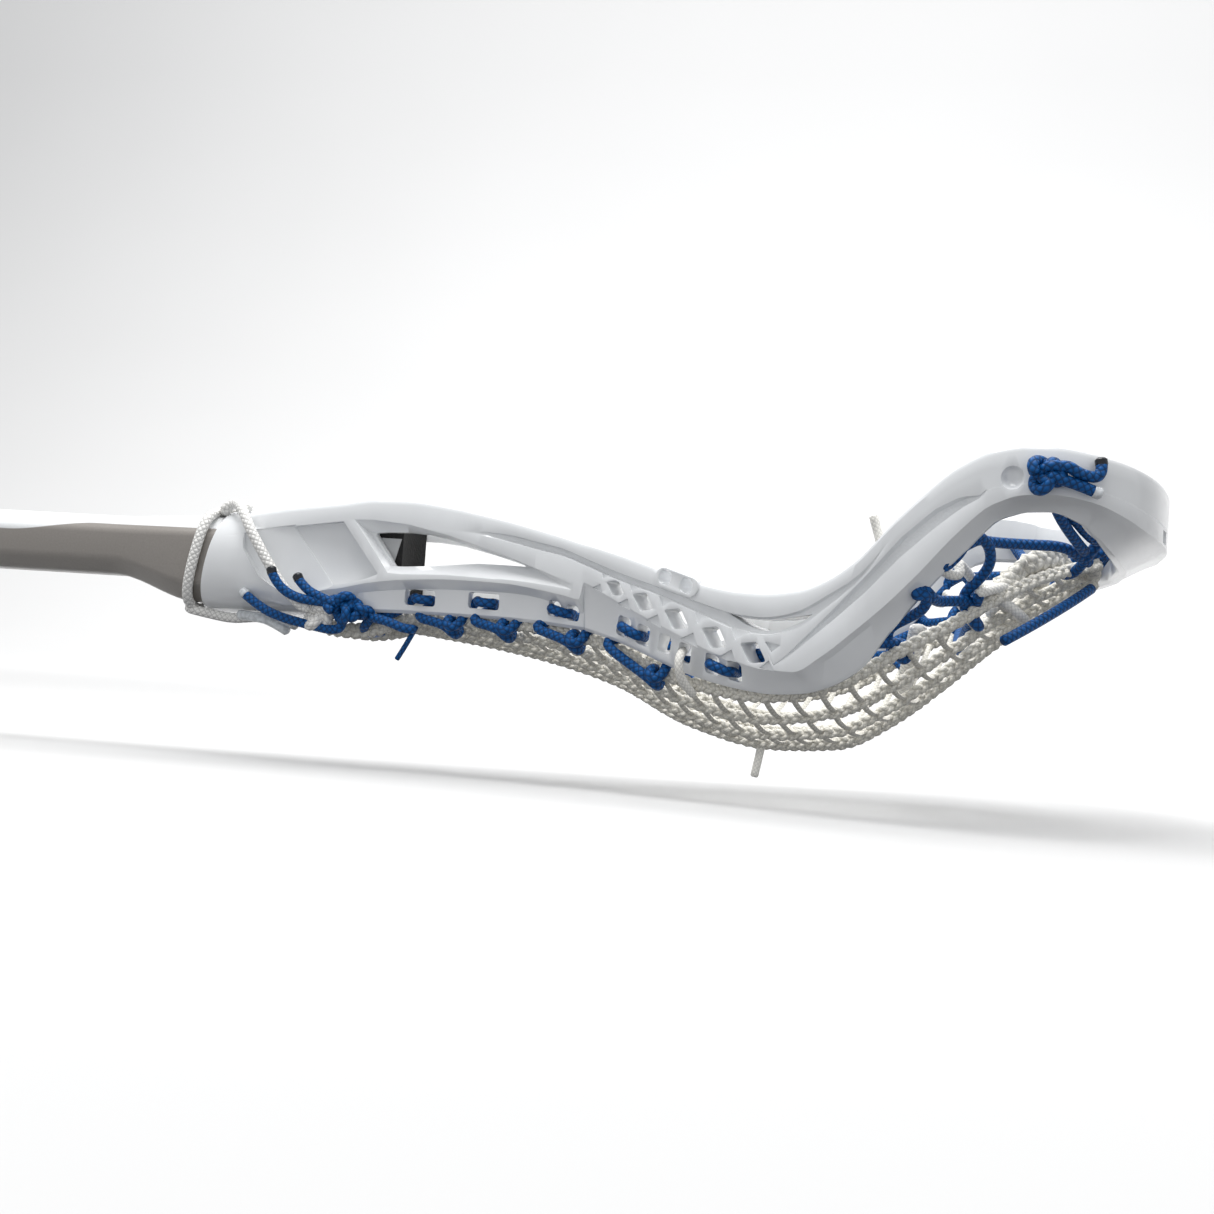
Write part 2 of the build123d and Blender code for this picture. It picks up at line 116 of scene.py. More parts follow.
# The stippled groove up the scoop's rise: distance, middle height and half height
GROOVE = [
    (168.0, -24.0, 0.15),
    (172.0, -20.9, 0.4),
    (176.0, -16.9, 0.8),
    (182.4, -10.6, 1.4),
    (189.7, -3.0, 2.0),
    (197.5, 6.0, 2.4),
    (205.0, 12.9, 2.3),
    (210.8, 16.8, 1.4),
    (215.5, 18.4, 0.2),
]
GROOVE_DEPTH = 1.7
GROOVE_STRIP = 8

# Openings in each sidewall: outlines along the head and up
WINDOW_THROUGH = [(47.8, 7.0), (51.5, 7.3), (59.2, 7.5), (66.7, 6.9), (77.6, 4.6), (89.9, 1.4), (95.4, 0.1),
                  (97.2, -0.8), (90.0, -0.6), (82.0, -0.5), (66.0, -1.8), (58.0, -2.2), (54.6, -2.2)]
WINDOW_MOUTH = [(43.6, 10.7), (50.0, 10.7), (60.7, 9.7), (73.3, 7.0), (89.8, 2.3), (102.0, -1.9),
    (112.6, -5.8),
                (112.6, -7.4), (104.0, -6.3), (90.4, -5.1), (74.2, -4.4), (60.0, -4.8), (55.6, -4.6)]
RECESS_BACK = [(10.6, 4.9), (13.5, 6.2), (26.0, 8.1), (39.0, -8.9), (35.0, -10.5), (29.0, -12.4),
    (23.4, -11.8),
               (16.5, -7.6), (11.0, 0.6)]
RECESS_FRONT = [(25.3, 7.6), (40.7, 9.7), (52.6, -4.9), (49.2, -6.2), (41.5, -8.3), (38.2, -8.6)]
LENS_WINDOW = [(152.9, -11.2), (157.3, -12.3), (163.9, -12.5), (170.3, -12.1), (179.0, -10.6), (175.7, -12.6),
               (170.0, -14.9), (164.1, -15.3), (158.4, -13.9)]
# Lacing slots: place along and up, length, height and slope; the first two pairs share a wide slot
WIDE_SLOTS = [(64.4, -10.8, 9.8, 4.5, -1.0), (83.8, -10.8, 9.8, 4.5, -2.0)]
SLOTS = [
    (63.4, -10.9, 3.6, 3.6, 0.0),
    (68.2, -11.1, 3.6, 3.6, -1.0),
    (82.6, -10.9, 3.6, 3.6, -2.0),
    (87.4, -11.1, 3.6, 3.6, -2.0),
    (104.8, -11.9, 4.2, 4.2, -7.0),
    (110.4, -12.9, 4.2, 4.2, -9.0),
    (126.0, -15.9, 4.6, 5.3, -16.0),
    (131.6, -17.9, 4.6, 5.3, -16.0),
    (137.9, -19.9, 4.4, 4.8, -16.0),
    (143.6, -21.9, 4.4, 5.0, -15.0),
    (151.2, -24.4, 4.7, 5.1, -13.0),
    (157.2, -25.9, 4.7, 4.9, -10.0),
]
# Openings of the truss: place along and up, and size against the third
DIAMONDS = [(123.9, -5.9, 0.92), (132.0, -9.2, 1.08), (141.7, -13.3, 1.22), (152.3, -17.6, 1.26),
    (162.7, -20.9, 1.22)]
DIAMOND_ALONG = Vector((4.4, 0.5))
DIAMOND_DOWN = Vector((2.7, -4.1))
UPPER_HOLES = [(138.0, -2.7), (144.0, -4.7)]
DIMPLE = (221.7, 22.7, 3.0)
KNOT_HOLE = (230.6, 23.4)
SCOOP_SLOTS = [-47.0, -29.0, -11.0, 11.0, 29.0, 47.0]
SCOOP_SLOT_Z = 13.8

# The pocket: distance from the rim, half width at its laced edge, height of edge and bottom
POCKET = [
    (50.0, 10.0, -18.0, -20.0),
    (75.0, 16.0, -17.8, -22.2),
    (98.0, 21.5, -18.2, -25.8),
    (120.0, 29.0, -21.8, -31.6),
    (143.0, 38.5, -30.2, -42.0),
    (164.0, 46.5, -33.0, -46.4),
    (184.0, 52.5, -28.6, -45.0),
    (200.0, 53.5, -18.8, -36.0),
    (212.0, 52.0, -11.4, -25.6),
    (224.0, 47.5, -3.2, -14.6),
    (236.0, 40.5, 2.8, -5.6),
    (247.0, 32.0, 6.0, 1.6),
]
NET_START = 51.0
NET_END = 246.5


def place(along, across, up):
    """A point given in the head's millimetres, as a place in the frame."""
    return Vector(((HEAD_X + along) * MM, across * MM, up * MM))


def curve_through(rows, step):
    """The row at a fractional step of a table, on a curve through its rows that never overshoots."""
    low = min(int(step), len(rows) - 2)
    share = step - low
    before = rows[max(low - 1, 0)]
    start = rows[low]
    end = rows[low + 1]
    after = rows[min(low + 2, len(rows) - 1)]
    made = []
    for a, b, c, d in zip(before, start, end, after):
        steps = (b - a, c - b, d - c)
        slopes = []
        for first, second in zip(steps, steps[1:]):
            turns = first * second <= 0
            slopes.append(0.0 if turns else 2 * first * second / (first + second))
        bend = 2 * b - 2 * c + slopes[0] + slopes[1]
        turn = -3 * b + 3 * c - 2 * slopes[0] - slopes[1]
        made.append(((bend * share + turn) * share + slopes[0]) * share + b)
    return made


def straight_at(rows, along):
    """The row at a distance along the head, in straight lines between the rows."""
    for low, high in zip(rows, rows[1:]):
        if along <= high[0]:
            share = max((along - low[0]) / (high[0] - low[0]), 0.0)
            return [a + (b - a) * share for a, b in zip(low, high)]
    return list(rows[-1])


# ---------------------------------------------------------------- colours and nodes


def linear(hex_colour):
    """An sRGB hex colour as the linear numbers that a socket takes."""
    values = [int(hex_colour[i : i + 2], 16) / 255 for i in (1, 3, 5)]
    turned = [v / 12.92 if v <= 0.04045 else ((v + 0.055) / 1.055) ** 2.4 for v in values]
    return (*turned, 1.0)


def node(tree, kind, inputs=None, **settings):
    """Adds a node with its settings, and its inputs as values or links."""
    made = tree.nodes.new(kind)
    for name, value in settings.items():
        setattr(made, name, value)
    for socket, value in (inputs or {}).items():
        if isinstance(value, bpy.types.NodeSocket):
            tree.links.new(value, made.inputs[socket])
        else:
            made.inputs[socket].default_value = value
    return made


def material(name):
    """An empty node material with a Principled shader, its tree and the shader."""
    made = bpy.data.materials.new(name)
    made.use_nodes = True
    tree = made.node_tree
    tree.nodes.clear()
    shader = tree.nodes.new("ShaderNodeBsdfPrincipled")
    output = tree.nodes.new("ShaderNodeOutputMaterial")
    tree.links.new(shader.outputs[0], output.inputs[0])
    return made, tree, shader


def ramp(tree, factor, stops):
    """A colour ramp from stops of a place and a hex or linear colour."""
    made = node(tree, "ShaderNodeValToRGB", {0: factor})
    elements = made.color_ramp.elements
    while len(elements) < len(stops):
        elements.new(0.5)
    for element, (where, colour) in zip(elements, stops):
        element.position = where
        element.color = linear(colour) if isinstance(colour, str) else colour
    return made.outputs[0]


def texture(tree, scale, kind="Noise", **inputs):
    """A procedural texture fixed to the piece, with its scale in features per metre."""
    where = node(tree, "ShaderNodeTexCoord").outputs["Object"]
    return node(tree, "ShaderNodeTex" + kind, {"Vector": where, "Scale": scale, **inputs}).outputs[0]


def maths(tree, operation, *values):
    """The result of a sum on values or sockets."""
    return node(tree, "ShaderNodeMath", dict(enumerate(values)), operation=operation).outputs[0]


def paint(tree, shader, factor, stops):
    """Colours a shader by a ramp."""
    tree.links.new(ramp(tree, factor, stops), shader.inputs["Base Color"])


def bump(tree, shader, height, strength, distance):
    """Raises a shader's surface by a height, without moving the mesh."""
    made = node(tree, "ShaderNodeBump", {"Height": height, "Strength": strength, "Distance": distance})
    tree.links.new(made.outputs[0], shader.inputs["Normal"])


def roughness(tree, shader, factor, low, high):
    """Varies a shader's roughness between two values."""
    made = node(tree, "ShaderNodeMapRange", {"Value": factor, "To Min": low, "To Max": high})
    tree.links.new(made.outputs[0], shader.inputs["Roughness"])


def shade(colour, share):
    """A linear colour made darker or lighter by a share."""
    return (*(min(value * share, 1.0) for value in colour), 1.0)


def moulded_nylon(name, colour, stipple):
    """Injection-moulded glossy nylon: near-white, a faint cool cast, and fine mould grain or stipple."""
    made, tree, shader = material(name)
    # Clouds of tone about 20 mm across
    cloud = texture(tree, 45.0, Detail=3.0)
    paint(tree, shader, cloud, [(0.3, shade(colour, 0.94)), (0.7, shade(colour, 1.03))])
    # Grain of 1 mm, and a stipple of 0.6 mm dots in the groove
    grain = texture(tree, 900.0, Detail=2.0)
    dots = texture(tree, 1300.0, kind="Voronoi")
    mixed = maths(tree, "MULTIPLY_ADD", dots, stipple, grain)
    bump(tree, shader, mixed, 0.05 + 0.3 * stipple, 0.0002)
    roughness(tree, shader, cloud, 0.14 + 0.2 * stipple, 0.24 + 0.2 * stipple)
    shader.inputs["IOR"].default_value = 1.53
    shader.inputs["Coat Weight"].default_value = 0.3
    shader.inputs["Coat Roughness"].default_value = 0.08
    return made


def braided_cord(name, body, lumps_round, lump_length, depth, gloss, dark, light):
    """Braided polyester or nylon cord: diagonal lumps of yarn, with painted shade between them and a painted
    highlight on their crowns.

    The map's first number runs along the cord in millimetres, the second once round it.
    """
    known = bpy.data.materials.get(name)
    if known:
        return known
    made, tree, shader = material(name)
    where = node(tree, "ShaderNodeUVMap", uv_map="UVMap").outputs[0]
    parts = node(tree, "ShaderNodeSeparateXYZ", {0: where}).outputs
    along = maths(tree, "MULTIPLY", parts[0], pi / lump_length)
    around = maths(tree, "MULTIPLY", parts[1], pi * lumps_round)
    waves = []
    for operation in ("ADD", "SUBTRACT"):
        wave = maths(tree, "SINE", maths(tree, operation, along, around))
        waves.append(maths(tree, "ABSOLUTE", wave))
    lump = maths(tree, "MULTIPLY", *waves)
    # Filaments under a millimetre, and patches of wear 6 mm across
    fuzz = texture(tree, 1400.0, Detail=4.0)
    patch = texture(tree, 160.0, Detail=2.0)
    height = maths(tree, "MULTIPLY_ADD", fuzz, 0.3, lump)
    level = maths(tree, "MULTIPLY_ADD", patch, 0.2, height)
    # Painted shade and highlight: the seams between the lumps are darkened by the dark share, and the lumps' crowns
    # are lifted by the light share
    paint(tree, shader, level, [(0.32, shade(body, dark)), (0.6, shade(body, 1.0)),
        (0.98, shade(body, light))])
    bump(tree, shader, height, 0.9, depth * MM)
    shader.inputs["Roughness"].default_value = gloss
    shader.inputs["Specular IOR Level"].default_value = 0.2
    return made


def blue_cord():
    """Braided polyester, dyed royal blue, with painted shade in the seams between its 1.7 mm lumps and a painted
    highlight on their crowns.
    """
    colour = bpy.context.scene.lacrosse_strings.blue
    return braided_cord("blue_braided_polyester", colour, 4, 1.7, 0.2, gloss=0.5, dark=0.45, light=1.3)


def white_cord():
    """Braided nylon lace, bright white, with painted grey shade between its 1.7 mm lumps and a painted highlight on
    their crowns.
    """
    colour = bpy.context.scene.lacrosse_strings.white
    return braided_cord("white_braided_nylon", colour, 5, 1.7, 0.25, gloss=0.5, dark=0.72, light=1.05)


def hollow_cord():
    """Thin hollow nylon cord, smoother and slightly warmer than the lace, with painted shade between its lumps and
    a painted highlight on their crowns.
    """
    colour = bpy.context.scene.lacrosse_strings.hollow
    return braided_cord("white_hollow_nylon", colour, 6, 1.2, 0.12, gloss=0.45, dark=0.8, light=1.05)


def melted_tip(name, colour):
    """Nylon sealed with a flame: glassy and uneven, pale or scorched."""
    made, tree, shader = material(name)
    blobs = texture(tree, 700.0, Detail=2.0)
    paint(tree, shader, blobs, [(0.3, shade(linear(colour)[:3], 0.6)), (0.7, colour)])
    bump(tree, shader, blobs, 0.4, 0.0003)
    shader.inputs["Roughness"].default_value = 0.22
    return made


def cell_foam(name, dark, light):
    """Closed-cell foam or moulded rubber: matte, black, with fine pores."""
    made, tree, shader = material(name)
    pores = texture(tree, 1500.0, kind="Voronoi")
    paint(tree, shader, pores, [(0.0, dark), (0.6, light)])
    bump(tree, shader, pores, 0.4, 0.0003)
    shader.inputs["Roughness"].default_value = 0.85
    return made


def coated_shaft(side, top):
    """Satin-coated composite: white along the top, warm grey below, a faint speckle in the coat."""
    made, tree, shader = material("coated_composite")
    where = node(tree, "ShaderNodeTexCoord").outputs["Object"]
    parts = node(tree, "ShaderNodeSeparateXYZ", {0: where})
    reach = {"From Min": (HEAD_X - 66) * MM, "From Max": (HEAD_X - 38) * MM, "To Min": -0.0032, "To Max": 0.0}
    swoosh = node(
        tree, "ShaderNodeMapRange", {"Value": parts.outputs[0], **reach}, interpolation_type="SMOOTHSTEP"
    )
    level = maths(tree, "SUBTRACT", parts.outputs[2], swoosh.outputs[0])
    edge = node(tree, "ShaderNodeMapRange", {"Value": level, "From Min": 0.0058, "From Max": 0.0061})
    # Coating grit under a millimetre
    grit = texture(tree, 1800.0, Detail=3.0)
    grey = ramp(tree, grit, [(0.3, shade(side, 0.96)), (0.7, shade(side, 1.05))])
    white = ramp(tree, grit, [(0.3, shade(top, 0.97)), (0.7, shade(top, 1.02))])
    mixed = node(tree, "ShaderNodeMix", {"Factor": edge.outputs[0], "A": grey, "B": white}, data_type="RGBA")
    colour_out = [socket for socket in mixed.outputs if socket.type == "RGBA"][0]
    tree.links.new(colour_out, shader.inputs["Base Color"])
    bump(tree, shader, grit, 0.05, 0.0002)
    shader.inputs["Roughness"].default_value = 0.36
    return made


def zinc_steel():
    """Zinc-plated steel: a bright grey metal with fine turning marks."""
    made, tree, shader = material("zinc_plated_steel")
    marks = texture(tree, 2500.0, Detail=2.0)
    roughness(tree, shader, marks, 0.22, 0.42)
    paint(tree, shader, marks, [(0.3, "#B9BCC0"), (0.7, "#D3D5D8")])
    shader.inputs["Metallic"].default_value = 1.0
    return made


# ---------------------------------------------------------------- mesh helpers


def new_object(name, bm):
    """A new object from a bmesh, with its faces turned outward."""
    bmesh.ops.recalc_face_normals(bm, faces=bm.faces)
    mesh = bpy.data.meshes.new(name)
    bm.to_mesh(mesh)
    bm.free()
    obj = bpy.data.objects.new(name, mesh)
    bpy.context.scene.collection.objects.link(obj)
    return obj


def smooth(obj, angle):
    """Smooth shading, broken at edges sharper than an angle in degrees."""
    obj.data.shade_smooth()
    obj.data.set_sharp_from_angle(angle=radians(angle))


def add_piece(name, bm, finish, smooth_angle=35.0):
    """A new smooth-shaded object with its finish."""
    obj = new_object(name, bm)
    obj.data.materials.append(finish)
    smooth(obj, smooth_angle)
    return obj


def fit(obj, replaces=None):
    """Lets a piece ride on the stick, in a CAD node's place or as a piece of its own."""
    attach(obj, "stick")
    if replaces:
        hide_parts(replaces)
    return obj


def sweep_rings(bm, rings, caps=(True, True), groove=()):
    """Extrudes a closed ring of points through the rings that follow it.

    groove holds the numbers of the rings after which the groove's strip takes the second finish.
    """
    verts = [bm.verts.new(point) for point in rings[0]]
    edges = [bm.edges.new(pair) for pair in zip(verts, verts[1:] + verts[:1])]
    if caps[0]:
        bm.faces.new(verts[::-1])
    for number, ring in enumerate(rings[1:]):
        index = {vert: place_in_ring for place_in_ring, vert in enumerate(verts)}
        made = bmesh.ops.extrude_edge_only(bm, edges=edges)["geom"]
        fresh = [None] * len(verts)
        for vert in (item for item in made if isinstance(item, bmesh.types.BMVert)):
            partner = next(e.other_vert(vert) for e in vert.link_edges if e.other_vert(vert) in index)
            fresh[index[partner]] = vert
        for vert, point in zip(fresh, ring):
            vert.co = point
        if number in groove:
            low, high = GROOVE_STRIP, GROOVE_STRIP + 1
            bm.faces.get((verts[low], verts[high], fresh[high], fresh[low])).material_index = 1
        verts = fresh
        edges = [bm.edges.get(pair) for pair in zip(verts, verts[1:] + verts[:1])]
    if caps[1]:
        bm.faces.new(verts)


def finish_with(obj, kind, **settings):
    """Adds a modifier, applies it and leaves the result as the object's own mesh."""
    modifier = obj.modifiers.new(kind.title(), kind)
    for name, value in settings.items():
        setattr(modifier, name, value)
    graph = bpy.context.evaluated_depsgraph_get()
    mesh = bpy.data.meshes.new_from_object(obj.evaluated_get(graph))
    old = obj.data
    obj.modifiers.clear()
    obj.data = mesh
    bpy.data.meshes.remove(old)


def outward(along):
    """The near wall's outward direction in plan at a distance along the head."""
    a = straight_at(WALL, along - 1.0)
    b = straight_at(WALL, along + 1.0)
    run = Vector((b[0] - a[0], -(b[1] - a[1]), 0)).normalized()
    return Vector((run.y, -run.x, 0))


def side_cutter(bm, outline, side, depth=None, rounding=0.0, proud=9.0):
    """A prism through one sidewall, or into it when given a depth, with rounded corners."""
    along = sum(p[0] for p in outline) / len(outline)
    wall = straight_at(WALL, along)
    out = outward(along)
    verts = []
    for x, z in outline:
        surface = straight_at(WALL, x)[1] if depth is not None else wall[1]
        verts.append(bm.verts.new(place(x, -surface, z) + out * proud * MM))
    face = bm.faces.new(verts)
    reach = proud + (depth if depth is not None else 15)
    made = bmesh.ops.extrude_face_region(bm, geom=[face], use_keep_orig=True)["geom"]
    moved = [item for item in made if isinstance(item, bmesh.types.BMVert)]
    bmesh.ops.translate(bm, verts=moved, vec=-out * reach * MM)
    own = moved + verts
    if rounding:
        corners = [edge for vert in verts for edge in vert.link_edges if edge.other_vert(vert) in moved]
        known = set(bm.verts) - set(own)
        bmesh.ops.bevel(
            bm, geom=corners, offset=rounding * MM, segments=3, profile=0.5, affect="EDGES", material=-1
        )
        own = set(bm.verts) - known
    if side > 0:
        for vert in own:
            vert.co.y = -vert.co.y


def mouth_cutter(bm, mouth, through, side, depth):
    """A funnel from a wide outline at the sidewall's face down to a narrow one."""
    rings = []
    for outline, offset in ((mouth, 0.3), (through, -depth)):
        ring = [place(x, -straight_at(WALL, x)[1], z) + outward(x) * offset * MM for x, z in outline]
        rings.append([Vector((p.x, -side * p.y, p.z)) for p in ring])
    sweep_rings(bm, rings)


def slanted_rectangle(along, up, length, height, slope):
    """The four corners of a rectangle turned by its slope."""
    c, s = cos(radians(slope)), sin(radians(slope))
    corners = [(-length / 2, -height / 2), (length / 2, -height / 2), (length / 2, height / 2),
        (-length / 2, height / 2)]
    return [(along + x * c - z * s, up + x * s + z * c) for x, z in corners]


def octagon_ring(along, centre_z, half_width, half_height, bevel):
    """An octagonal ring across the stick."""
    w, h, b = half_width, half_height, bevel
    corners = [(-w, -h + b), (-w + b, -h), (w - b, -h), (w, -h + b), (w, h - b), (w - b, h),
        (-w + b, h), (-w, h - b)]
    return [Vector((along * MM, y * MM, (z + centre_z) * MM)) for y, z in corners]


def diamond(along, up, size):
    """The corners of one of the truss's leaning openings."""
    a, b = DIAMOND_ALONG * size / 2, DIAMOND_DOWN * size / 2
    return [(along + x, up + z) for x, z in (-a - b, -a + b, a + b, a - b)]


# ---------------------------------------------------------------- the head


def wall_ring(step):
    """One ring of the near sidewall at a fractional row."""
    row = curve_through(WALL, step)
    a = curve_through(WALL, max(step - 0.05, 0))
    b = curve_through(WALL, min(step + 0.05, len(WALL) - 1))
    run = Vector((b[0] - a[0], -(b[1] - a[1]), 0)).normalized()
    if step > len(WALL) - 1.001:
        run = Vector((0, 1, 0))
    out = Vector((run.y, -run.x, 0))
    along, half, thick, top, rail, channel, lower, crease, inset, ledge, bottom, foot = row
    middle, reach, dip = (lower + crease) / 2, 0.3, 0.0
    if GROOVE[0][0] <= along <= GROOVE[-1][0]:
        _, middle, reach = straight_at(GROOVE, along)
        dip = GROOVE_DEPTH * min(reach / 1.4, 1.0)
    profile = [
        (-1.4, top),
        (-0.45, top - 0.35),
        (0.0, top - 1.3),
        (0.0, rail),
        (-channel, rail - 0.35),
        (-channel, lower + 0.35),
        (0.0, lower),
        (0.0, middle + reach),
        (-dip, middle + reach * 0.75),
        (-dip, middle - reach * 0.75),
        (0.0, middle - reach),
        (0.0, crease),
        (-inset, ledge),
        (-foot, bottom + 0.9),
        (-foot - 0.8, bottom),
        (-thick + 0.9, bottom),
        (-thick, bottom + 0.9),
        (-thick, top - 1.2),
        (-thick + 1.2, top),
    ]
    base = place(along, -half, 0)
    return [base + out * (n * MM) + Vector((0, 0, z * MM)) for n, z in profile]


def round_ring(along, half_width, half_height, power, tilt, count=48):
    """A ring like a squared ellipse, sheared by the rim's tilt."""
    points = []
    for number in range(count):
        angle = 2 * pi * number / count
        c, s = cos(angle), sin(angle)
        y = half_width * abs(c) ** (2 / power) * (1 if c >= 0 else -1)
        z = half_height * abs(s) ** (2 / power) * (1 if s >= 0 else -1)
        points.append(place(along + tilt * z, y, z + SOCKET_Z))
    return points


def build_head_mesh():
    """The head's solid body before its openings are cut."""
    bm = bmesh.new()
    count = (len(WALL) - 1) * STEPS_PER_ROW
    rings = [wall_ring(number / STEPS_PER_ROW) for number in range(count + 1)]
    ends = [(HEAD_X + GROOVE[1][0]) * MM, (HEAD_X + GROOVE[-2][0]) * MM]
    groove = [number for number, ring in enumerate(rings) if ends[0] < ring[0].x < ends[1]]
    sweep_rings(bm, rings, caps=(True, False), groove=groove)
    bmesh.ops.mirror(bm, geom=bm.verts[:] + bm.edges[:] + bm.faces[:], axis="Y", merge_dist=1e-5)
    return bm


def build_collar_mesh():
    """The collar's outside and the block behind the ball stop."""
    bm = bmesh.new()
    stations = [
        (-0.2, 16.0, 15.1, 2.2, 0.21),
        (1.4, 16.4, 15.4, 2.2, 0.20),
        (10.0, 16.6, 15.4, 2.3, 0.10),
        (20.0, 16.3, 15.2, 2.6, 0.0),
        (28.0, 15.4, 15.1, 3.0, 0.0),
        (36.0, 14.6, 15.0, 3.6, 0.0),
        (44.0, 14.2, 14.6, 4.5, 0.0),
        (47.0, 14.0, 14.4, 5.0, 0.0),
    ]
    sweep_rings(bm, [round_ring(*station) for station in stations])
    return bm


def build_cutters():
    """Everything that is cut out of the sidewalls, as one mesh of separate prisms."""
    bm = bmesh.new()
    for side in (-1, 1):
        side_cutter(bm, WINDOW_THROUGH, side, rounding=0.6)
        side_cutter(bm, LENS_WINDOW, side, rounding=0.5)
        for slot in WIDE_SLOTS + SLOTS[4:]:
            side_cutter(bm, slanted_rectangle(*slot), side, rounding=0.9)
        for opening in DIAMONDS:
            side_cutter(bm, diamond(*opening), side, rounding=0.8)
        for along, up in UPPER_HOLES:
            side_cutter(bm, slanted_rectangle(along, up, 4.2, 3.9, -18.0), side, rounding=1.4)
        ring = [(KNOT_HOLE[0] + 1.9 * cos(a * pi / 6), KNOT_HOLE[1] + 1.9 * sin(a * pi / 6)) for a in range(12)]
        side_cutter(bm, ring, side)
    return bm


def build_funnels():
    """The wide mouths of the throat's windows and the truss's shallow triangles."""
    bm = bmesh.new()
    for side in (-1, 1):
        mouth_cutter(bm, WINDOW_MOUTH, WINDOW_THROUGH, side, 3.4)
        ends = [(115.6, -2.4, 0.6), *DIAMONDS, (171.6, -22.4, 0.7)]
        for first, second in zip(ends, ends[1:]):
            centre = Vector(((first[0] + second[0]) / 2, (first[1] + second[1]) / 2))
            run = Vector((second[0] - first[0], second[1] - first[1])).normalized()
            rise = Vector((-run.y, run.x))
            size = (first[2] + second[2]) / 2
            for sign in (-1, 1):
                base = centre + rise * sign * 3.5 * size
                triangle = [base - run * 2.2 * size, base + run * 2.2 * size, centre + rise * sign * 1.0 * size]
                side_cutter(bm, [tuple(p) for p in triangle[::sign]], side, depth=1.0, rounding=0.25)
    return bm


def build_bosses():
    """The low pad round the pair of holes in each upper rail."""
    bm = bmesh.new()
    for side in (-1, 1):
        outline = slanted_rectangle(141.2, -3.9, 12.4, 5.0, -18.0)
        side_cutter(bm, outline, side, depth=2.0, rounding=2.2, proud=0.45)
    return bm


def boolean(obj, bm, operation):
    """Cuts away or joins a solid."""
    other = new_object("solid", bm)
    finish_with(obj, "BOOLEAN", operation=operation, object=other, solver="EXACT")
    bpy.data.objects.remove(other)


def recess_cutters(outline, floor):
    """One of the planes of the hollows in the throat's sides."""
    bm = bmesh.new()
    for side in (-1, 1):
        sweep_rings(bm, [[place(x, side * across, z) for x, z in outline] for across in (floor, 30.0)])
    return bm


def socket_cutter():
    """The shaft's octagonal socket."""
    bm = bmesh.new()
    half = SOCKET_CUT_HALF
    sweep_rings(bm, [octagon_ring(HEAD_X + x, SOCKET_Z, half, half, SOCKET_BEVEL) for x in (-12.0, SOCKET_DEPTH)])
    return bm


def scoop_cutters():
    """Slots through the scoop's lower wall, the dimples and the screw's counterbore."""
    bm = bmesh.new()
    for across in SCOOP_SLOTS:
        size = Matrix.Diagonal((40 * MM, 7.0 * MM, 3.2 * MM, 1))
        bmesh.ops.create_cube(bm, size=1.0, matrix=Matrix.Translation(place(258.0, across, SCOOP_SLOT_Z)) @ size)
    bmesh.ops.create_cone(
        bm,
        cap_ends=True,
        segments=32,
        radius1=SCREW_BORE_RADIUS * MM,
        radius2=SCREW_BORE_RADIUS * MM,
        depth=8.1 * MM,
        matrix=Matrix.Translation(place(SCREW_ALONG, 0, -19.95)),
    )
    for side in (-1, 1):
        along, up, radius = DIMPLE
        centre = place(along, side * (straight_at(WALL, along)[1] + 1.3), up)
        bmesh.ops.create_uvsphere(
            bm, u_segments=32, v_segments=16, radius=radius * MM, matrix=Matrix.Translation(centre)
        )
    return bm


def make_head(sizes):
    """The moulded head, cut and joined from its parts."""
    obj = add_piece("head_shell", build_head_mesh(), moulded_nylon("moulded_nylon", sizes.colour, 0.0))
    obj.data.materials.append(moulded_nylon("stippled_nylon", sizes.colour, 1.0))
    for solid in (build_collar_mesh(), build_bosses()):
        boolean(obj, solid, "UNION")
    recesses = recess_cutters(RECESS_BACK, 14.0), recess_cutters(RECESS_FRONT, 13.4)
    for solid in (*recesses, build_funnels(), socket_cutter(), build_cutters(), scoop_cutters()):
        boolean(obj, solid, "DIFFERENCE")
    finish_with(
        obj,
        "BEVEL",
        width=sizes.edge_round,
        segments=2,
        limit_method="ANGLE",
        angle_limit=radians(32),
        use_clamp_overlap=True,
    )
    smooth(obj, 38)
    fit(obj, replaces="head_frame")


def make_side_shade_sheets(sizes):
    """Grey sheets on the ball stop's sides: the head's nylon darkened to 0.55, painted shade for the throat block's
    side in shadow.
    """
    bm = bmesh.new()
    outline = [(49.0, 5.9), (56.9, 5.9), (54.9, -1.8), (49.0, -1.8)]
    for side in (-1, 1):
        sweep_rings(bm, [[place(x, side * across, z) for x, z in outline] for across in (11.0, 11.95)])
    # Painted shade: the sheets take the head's nylon darkened to 0.55, the tone of its side in shadow
    obj = add_piece("ball_stop_shade_sheets", bm, moulded_nylon("shaded_sheet_nylon", shade(sizes.colour, 0.55)[:3], 0.0))
    fit(obj)


# ---------------------------------------------------------------- cords


def spline_points(points, steps=6):
    """Points read along the smooth curve whose control points are given."""
    curve = bpy.data.curves.new("route", "CURVE")
    curve.dimensions = "3D"
    spline = curve.splines.new("NURBS")
    spline.points.add(len(points) - 1)
    for target, point in zip(spline.points, points):
        target.co = (*point, 1.0)
    spline.use_endpoint_u = True
    spline.order_u = 3
    spline.resolution_u = steps
    obj = bpy.data.objects.new("route", curve)
    bpy.context.scene.collection.objects.link(obj)
    graph = bpy.context.evaluated_depsgraph_get()
    mesh = bpy.data.meshes.new_from_object(obj.evaluated_get(graph))
    found = [vert.co.copy() for vert in mesh.vertices]
    bpy.data.objects.remove(obj)
    bpy.data.curves.remove(curve)
    bpy.data.meshes.remove(mesh)
    return found


